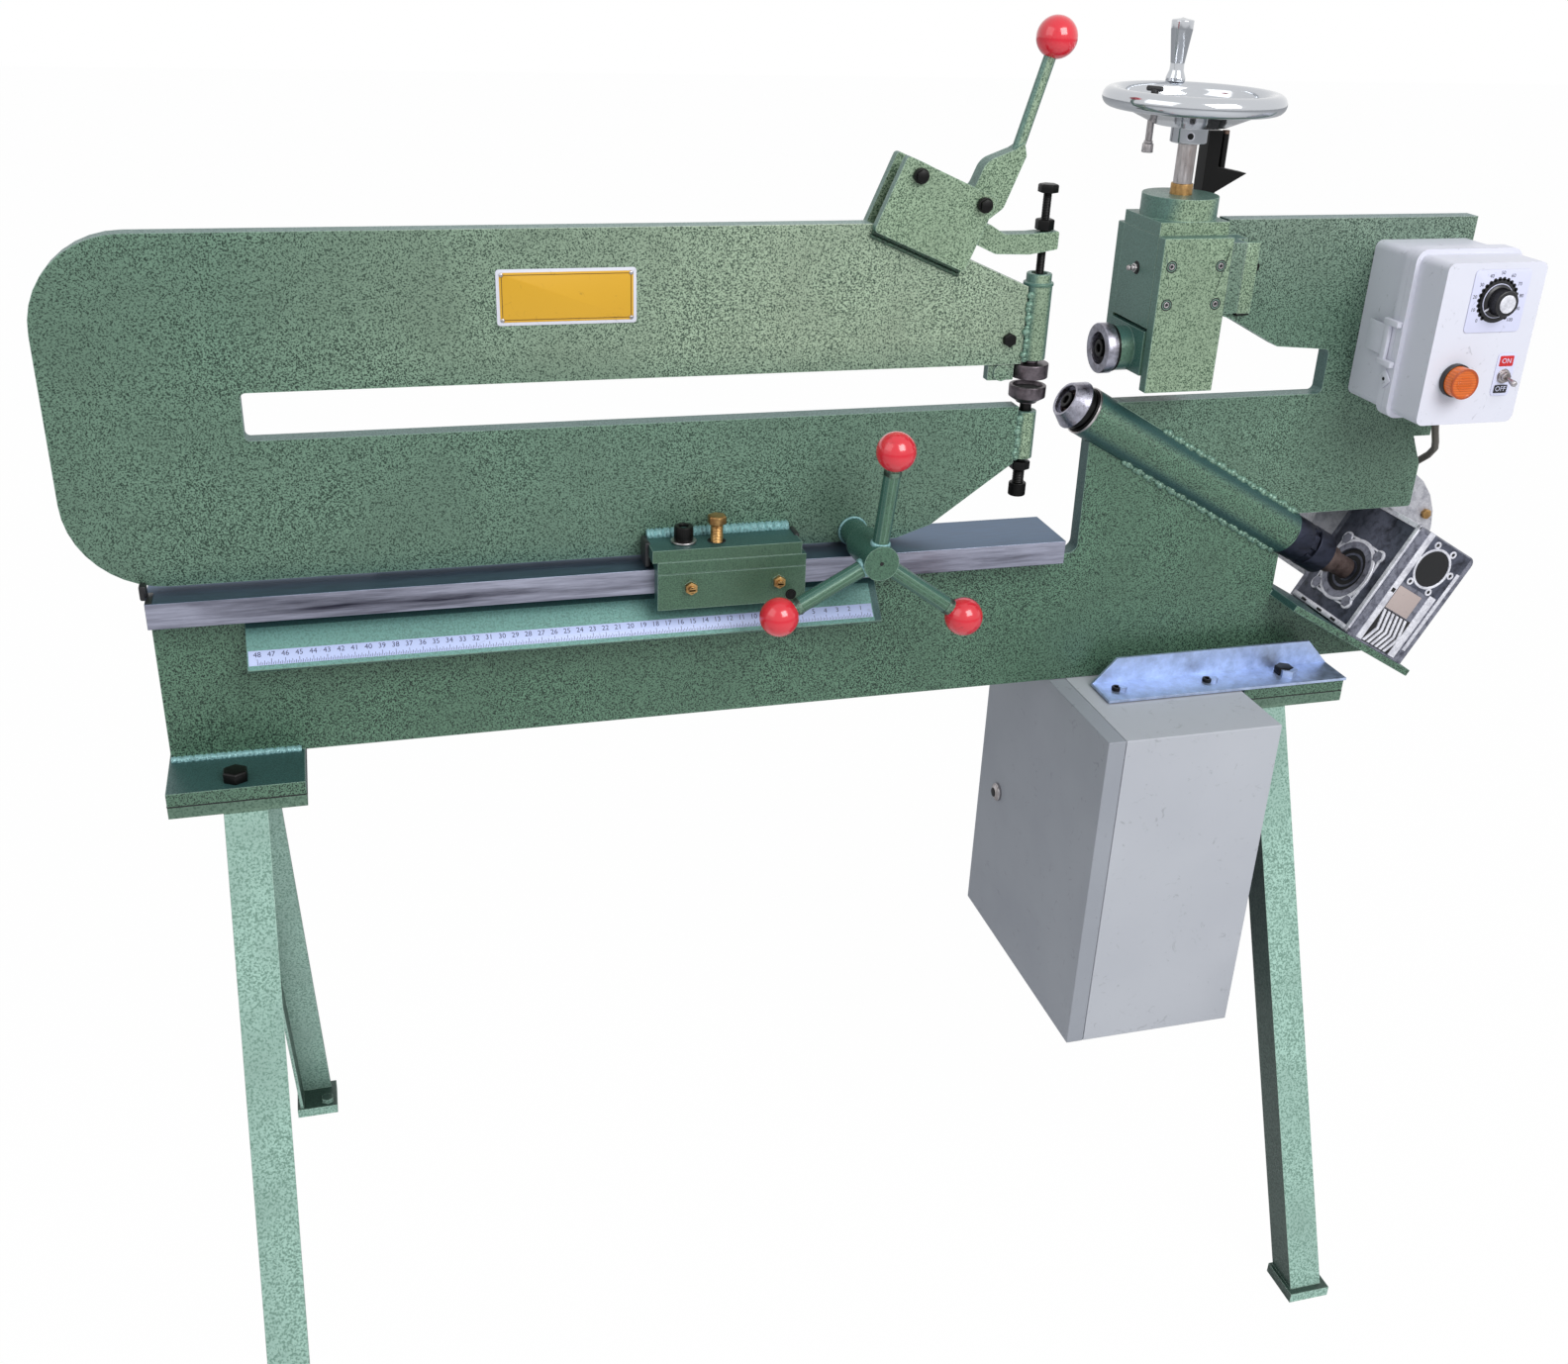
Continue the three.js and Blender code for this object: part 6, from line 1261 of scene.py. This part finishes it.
        # A dark plate over the flange face: painted shade.
        dark.add(block((134.2, -52, -54), (135.4, 52, 84), 0.4))
        bright.add(tube(38.8, 33.6, 0.2, 3.6, 0.7, 96), face)
        black.add(tube(34.4, 12.9, 0, 1, 0.2, 96), face)
        dark.add(tube(29.5, 26.5, 0.6, 1.9, 0.3, 96), face)
        dark.add(tube(21.5, 18.5, 0.6, 1.7, 0.3, 96), face)
        for spot in round_z(QUARTERS, 44):
            bright.add(tube(7.6, 3.3, 0.2, 3.2, 0.5, 40), face @ spot)
            black.add(rod(3.4, 0.2, 1.4, 0.1, 24), face @ spot)
        for quarter in QUARTERS:
            for way in (-1, 1):
                spot = spin(quarter + 17 * way) @ at(40.6, 0, 0) @ spin(24 * way)
                bright.add(block((-1.2, -6.4, 0.4), (1.2, 6.4, 2.8), 0.4), face @ spot)
        for low, high in (((131.6, -58.5, -58), (135.2, 54, -51.5)),
                          ((131.6, -58.5, -58), (135.2, -52.5, 84)), ((131.6, -58.5, 78), (135.2, 54, 84))):
            bright.add(block(low, high, 1.2))
        for y in (-34, -6, 26):
            black.add(block((131.2, y, -56.6), (132, y + 9, -53.6), 0.3))

    def front_side(self, bright: Form, dark: Form, black: Form) -> None:
        """Add the worm cap, machined strips and zigzag fins on the side towards the operator.

        Args:
            bright: Takes the machined edges, brightened as painted highlight.
            dark: Takes the dark casting faces.
            black: Takes the cap, and the notch and the fins' gaps as painted shade.
        """
        cap = front(180, -60, 50)
        black.add(rod(21.6, -2.8, 0.6, 0.4, 72), cap)
        bright.add(tube(24.6, 21.7, -0.4, 1.6, 0.5, 80), cap)
        for spot in round_z((8, 62, 118, 172, 236, 304), 28.6):
            bright.add(tube(4.4, 2.1, -0.4, 1.5, 0.4, 28), cap @ spot)
            black.add(rod(2.2, -0.4, 0.8, 0.1, 20), cap @ spot)
        dark.add(block((147, -60.5, 22), (220, -59.8, 82), 0.3))
        for low, high in (((146.4, -61.6, -57), (155, -59.6, 84)), ((201.5, -61.4, -57), (212, -59.6, 24)),
                          ((215, -61.4, -44), (220, -59.6, 60))):
            bright.add(block(low, high, 0.8))
        black.add(block((148.2, -62, 6), (153.2, -61.5, 11), 0.2))
        # A dark sheet behind the fins: painted shade in their gaps.
        black.add(block((155.2, -60.7, -57), (201.5, -59.8, -13), 0.2))
        for x in (156 + index * self.fin_pitch for index in range(self.fins)):
            line = [(x, -56), (x + 7, -37), (x, -14), (x + 3.6, -14), (x + 10.6, -37), (x + 3.6, -56)]
            bright.add(slab(line, -62.6, 2.4, 0.3))

    def motor(self, shop: Workshop) -> None:
        """Add the motor's cooling ribs and flange bolts."""
        ribs, bolts = Form(), Form()
        axis = at(*self.motor_axis) @ ALONG_Y
        for angle in range(0, 360, 12):
            if not 60 < angle < 120:
                ribs.add(block((78.5, -1, 84), (84.5, 1, 236), 0.4), axis @ spin(angle + 180))
        shop.keep(ribs, "motor_ribs", PALE_CASTING, place=DRIVE)
        for spot in round_z(QUARTERS, 74):
            bolts.add(hexagon(6.4, -5, 0, 0.6), axis @ at(0, 0, 60.3) @ spot)
        shop.keep(bolts, "motor_flange_bolts", BRASS, place=DRIVE)


@dataclass
class ControlBox:
    """White control box with its hinged lid, knob, lamp and toggle."""

    face: float = -131.9
    knob_spot: Span = (1307.0, 1141.5)
    lamp_spot: Span = (1277.0, 1062.4)
    toggle_spot: Span = (1335.5, 1064.0)
    tab_spot: Span = (-75.5, 1049.5)

    def build(self, shop: Workshop) -> None:
        """Dress the mouldings and make everything on the lid."""
        shop.dress(WHITE, 1.2, "control_box", "control_lid")
        self.dial(shop, *self.knob_spot)
        self.knob(shop, *self.knob_spot)
        self.lamp(shop, *self.lamp_spot)
        self.toggle(shop, *self.toggle_spot)
        self.latch(shop)

    def dial(self, shop: Workshop, x: float, z: float) -> None:
        """Make the dial plate with its scalloped ring and plain numbers."""
        place = front(x, self.face, z)
        plate = slab(sheet(-31.5, -31.5, 33.5, 30.5, 4), 0, 0.7, 0.15)
        shop.keep(plate, "dial_plate", PAPER, Body.LID, place=at(x, self.face - 0.75, z))
        marks = Form()
        marks.add(rod(22, 0.72, 1, 0.05, 72), place)
        for spot in round_z((232 - 13.5 * index for index in range(22)), 21.8):
            marks.add(rod(2, 0.72, 1, 0.05, 16), place @ spot)
        for index in range(11):
            angle = math.radians(225 - 27 * index)
            marks.add(lettering(str(10 * index), 3.6, 0.05),
                      place @ at(27.6 * math.cos(angle), 27.6 * math.sin(angle), 0.8))
        shop.keep(marks, "dial_marks", BLACK, Body.LID)

    def knob(self, shop: Workshop, x: float, z: float) -> None:
        """Make the fluted knob with its bright cap and pointer."""
        place = front(x, self.face - 0.2, z)
        body = lathe([(0, 0.9), (16.4, 0.9, 0.4), (16.4, 2.6, 0.8), (13.9, 3.6, 1), (13, 16, 1.4),
                      (0, 16.4)], 72)
        flutes = [f for f in body.faces if abs(f.normal.z) < 0.4 and f.calc_center_median().z > 6]
        bmesh.ops.inset_individual(body, faces=flutes, thickness=0.1, depth=-0.3)
        shop.keep(body, "speed_knob_moulding", BLACK, Body.KNOB, "speed_knob", place=place)
        shop.keep(tube(17.2, 16.3, 0.9, 1.6, 0.2, 72), "speed_knob_ring", PAPER, Body.KNOB, place=place)
        # The cap takes the brightened machined finish: painted highlight.
        shop.keep(rod(9, 16, 16.9, 0.3, 56), "speed_knob_cap", MACHINED_HIGHLIGHT, Body.KNOB, place=place,
                  slot=Slot.BARE_STEEL)
        shop.keep(block((-0.7, 9, 4.2), (0.7, 19, 5.6), 0.2), "speed_knob_pointer", WHITE, Body.KNOB,
                  place=place @ spin(120))

    def lamp(self, shop: Workshop, x: float, z: float) -> None:
        """Make the pilot lamp: domed lens with raised bars, dark bezel and rim."""
        place = front(x, self.face - 0.1, z)
        lens = Form(lathe([(0, 0.4), (15.4, 0.4), (15.4, 16.6, 1.6), (13.2, 18.4, 0.6), (13, 17.6, 0.3),
                           (0, 18)], 72))
        for drop in range(-3, 4):
            half = 9 - 0.5 * drop * drop
            lens.add(block((-half, 2.1 * drop - 0.35, 17.6), (half, 2.1 * drop + 0.35, 18.5), 0.15))
        shop.keep(lens, "pilot_lamp_lens", LENS, Body.LID, "pilot_lamp", place=place)
        shop.keep(tube(16.9, 15.2, 0, 6, 0.6, 72), "pilot_lamp_bezel", BLACK, Body.LID, place=place)
        shop.keep(tube(15.7, 13.6, 17.2, 18.5, 0.5, 72), "pilot_lamp_rim", AMBER_RIM, Body.LID, place=place)

    def toggle(self, shop: Workshop, x: float, z: float) -> None:
        """Make the toggle lever with its nut and the two plain word plates."""
        place = front(x, self.face - 0.1, z)
        nut = Form(tube(7.6, 4.2, 0, 0.8, 0.2, 40), hexagon(7.2, 0.8, 3, 0.4), rod(4.8, 0.5, 6.6, 0.5, 40))
        shop.keep(nut, "toggle_nut", BRIGHT_STEEL, Body.LID, place=place)
        lever = lathe([(0, 0), (1.7, 0), (2, 6), (3.3, 13.6, 1.6), (2.4, 15.6, 1), (0, 15.9)], 32)
        shop.keep(lever, "toggle_bat", BRIGHT_STEEL, Body.TOGGLE, "toggle_lever",
                  place=place @ at(0, 0, 5) @ spin(14, "X"))
        shop.keep(slab(sheet(-11, -22, 11, 22, 4), 0, 0.3, 0.1), "toggle_plate", PAPER, Body.LID,
                  place=at(x, self.face - 0.35, z + 1.5))
        for word, up, wide, tall, finish, name in (("ON", 15.6, 8.2, 5.4, RED_INK, "on_plate"),
                                                   ("OFF", -13.4, 7.8, 4.2, BLACK, "off_plate")):
            plate = slab(sheet(-wide, -tall, wide, tall, 1), 0, 0.3, 0.1)
            shop.keep(plate, name, finish, Body.LID, place=at(x, self.face - 0.65, z + up))
            shop.keep(lettering(word, 5.2, 0.06), f"{name}_word", PAPER, Body.LID,
                      place=front(x, self.face - 0.7, z + up))

    def latch(self, shop: Workshop) -> None:
        """Make the side latch with its knuckles and seal tab."""
        form = Form(block((1236.6, -64, 1072), (1238.3, -34, 1103), 0.5),
                    block((1233.4, -72, 1066), (1238, -63.5, 1108), 1.2),
                    *(block((1232.2, -86, z), (1238.2, -62, z + 6.4), 1.2) for z in (1063, 1104.5)))
        form.add(block((1236.4, -7.2, -7.2), (1238, 7.2, 7.2), 0.5), at(0, *self.tab_spot) @ spin(45, "X"))
        shop.keep(form, "lid_latch_moulding", WHITE, Body.LATCH, "lid_latch")
        # A dark disc in the tab's hole: painted shade.
        shop.keep(rod(1.9, -0.2, 0.3, 0.05, 20), "lid_latch_hole_shade", SHADOW, Body.LATCH,
                  place=leftward(1236.3, *self.tab_spot), slot=Slot.BLACK)


@dataclass
class Enclosure:
    """Grey cabinet under the head with its door, lock, hanger and lead."""

    def build(self, shop: Workshop) -> None:
        """Dress the cabinet and the lead, and make the lock and screws."""
        shop.dress(GREY, 1.2, "enclosure_body")
        # The door takes the darker grey: painted shade.
        shop.dress(GREY_SHADED, 1.2, "enclosure_door")
        shop.dress(ZINC, 0.3, "hanger_angle")
        place = leftward(929, 90, 497.2)
        lock = lathe([(0, 0.2), (11, 0.2, 0.5), (11, 3.2, 1), (7, 5.2, 0.8), (6.6, 6, 0.4), (0, 6.2)], 48)
        shop.keep(lock, "door_lock_turned", BRIGHT_STEEL, Body.LOCK, "door_lock", place=place)
        # The lock's core and the ring round it are dark: painted shade in the keyway and gap.
        core = Form(rod(5.6, 6, 6.6, 0.2, 32), tube(10.2, 8.2, 3, 3.8, 0.2, 40))
        shop.keep(core, "door_lock_core_shade", SHADOW, Body.LOCK, place=place, slot=Slot.BLACK)
        screws = Form()
        for x in (989, 1101):
            screws.add(cap_screw(5.4, 4), at(x, -56, 702.5))
        screws.add(domed_hexagon(10.8, 702.5, 710.4), at(1199.4, -54, 0))
        shop.keep(screws, "hanger_screws", DARK_STEEL)
        shop.dress(SLEEVE, 0.1, "power_lead")


@dataclass
class Studio:
    """Camera, lamps, floor and world."""

    focal_pixels: float = 1611.87
    photo_width: float = 1584
    sensor: float = 36
    floor_glow: float = 0.985

    def build(self) -> None:
        """Set up everything that is not part of the machine."""
        self.camera()
        self.world()
        self.floor()
        self.lamp("key", (0.9, -2.5, 3.0), (0.0, 0, 1.0), 82, 1.9)
        self.lamp("fill", (-2.6, -0.9, 2.9), (0, 0, 1.1), 21, 2.4)
        bpy.context.scene.view_settings.view_transform = "Standard"

    def camera(self) -> None:
        """Stand the camera where the photograph was taken from."""
        data = bpy.data.cameras.new("viewpoint")
        data.lens = self.sensor * self.focal_pixels / self.photo_width
        data.sensor_width = self.sensor
        data.clip_end = 50
        thing = bpy.data.objects.new("viewpoint", data)
        turn = Matrix(((0.96264, 0.08627, -0.25669), (-0.26832, 0.43184, -0.86111),
                       (0.03656, 0.89781, 0.43885)))
        thing.matrix_world = at(-0.511912, -1.475, 1.4722) @ turn.to_4x4()
        bpy.context.scene.collection.objects.link(thing)
        bpy.context.scene.camera = thing

    def world(self) -> None:
        """Give seen and mirrored rays plain white, and the rest a softer light."""
        world = bpy.data.worlds.new("studio")
        tree = Tree.blank(world)
        path = tree.node("LightPath").outputs
        seen = tree.maths("MAXIMUM", path["Is Camera Ray"], path["Is Glossy Ray"])
        plain = tree.node("Background", {"Color": (1, 1, 1, 1), "Strength": 1.0})
        soft = tree.node("Background", {"Color": (0.93, 0.96, 1, 1), "Strength": 0.48})
        mix = tree.node("MixShader", {0: tree.maths("MAXIMUM", seen, path["Is Transmission Ray"]),
                                      1: soft.outputs[0], 2: plain.outputs[0]})
        tree.node("OutputWorld", {"Surface": mix.outputs[0]})
        bpy.context.scene.world = world

    def floor(self) -> None:
        """Lay the pale floor."""
        mesh = bmesh.new()
        bmesh.ops.create_grid(mesh, x_segments=2, y_segments=2, size=14)
        data = bpy.data.meshes.new("studio_floor")
        mesh.to_mesh(data)
        mesh.free()
        made = bpy.data.materials.new("studio_floor")
        tree = Tree.blank(made)
        share = tree.maths("MULTIPLY", tree.node("LightPath").outputs["Is Camera Ray"], self.floor_glow)
        dull = tree.node("BsdfDiffuse", {"Color": (0.9, 0.9, 0.9, 1)})
        bright = tree.node("Emission", {"Color": (1, 1, 1, 1), "Strength": 1.0})
        mix = tree.node("MixShader", {0: share, 1: dull.outputs[0], 2: bright.outputs[0]})
        tree.node("OutputMaterial", {"Surface": mix.outputs[0]})
        data.materials.append(made)
        thing = bpy.data.objects.new("studio_floor", data)
        bpy.context.scene.collection.objects.link(thing)

    def lamp(self, name: str, spot: Sequence[float], target: Sequence[float], power: float,
             size: float) -> None:
        """Hang a soft lamp.

        Args:
            name: The lamp's name.
            spot: Where it hangs, in metres.
            target: What it points at.
            power: Its power in watts.
            size: Its width in metres.
        """
        data = bpy.data.lights.new(name, "AREA")
        data.energy = power
        data.size = size
        thing = bpy.data.objects.new(name, data)
        aim = (Vector(target) - Vector(spot)).to_track_quat("-Z", "Y")
        thing.matrix_world = at(*spot) @ aim.to_matrix().to_4x4()
        bpy.context.scene.collection.objects.link(thing)


def main() -> None:
    """Build the studio and every sub-assembly in order."""
    logging.basicConfig(level=logging.INFO, format="%(name)s %(message)s")
    Studio().build()
    shop = Workshop()
    for assembly in (Bench(), Tape(), Nameplate(), Carriage(), Capstan(), Clamp(), Quill(), CuttingHead(),
                     Handwheel(), DriveLine(), ControlBox(), Enclosure()):
        assembly.build(shop)
    log.info("%d new pieces", shop.count)


if __name__ == "__main__":
    main()
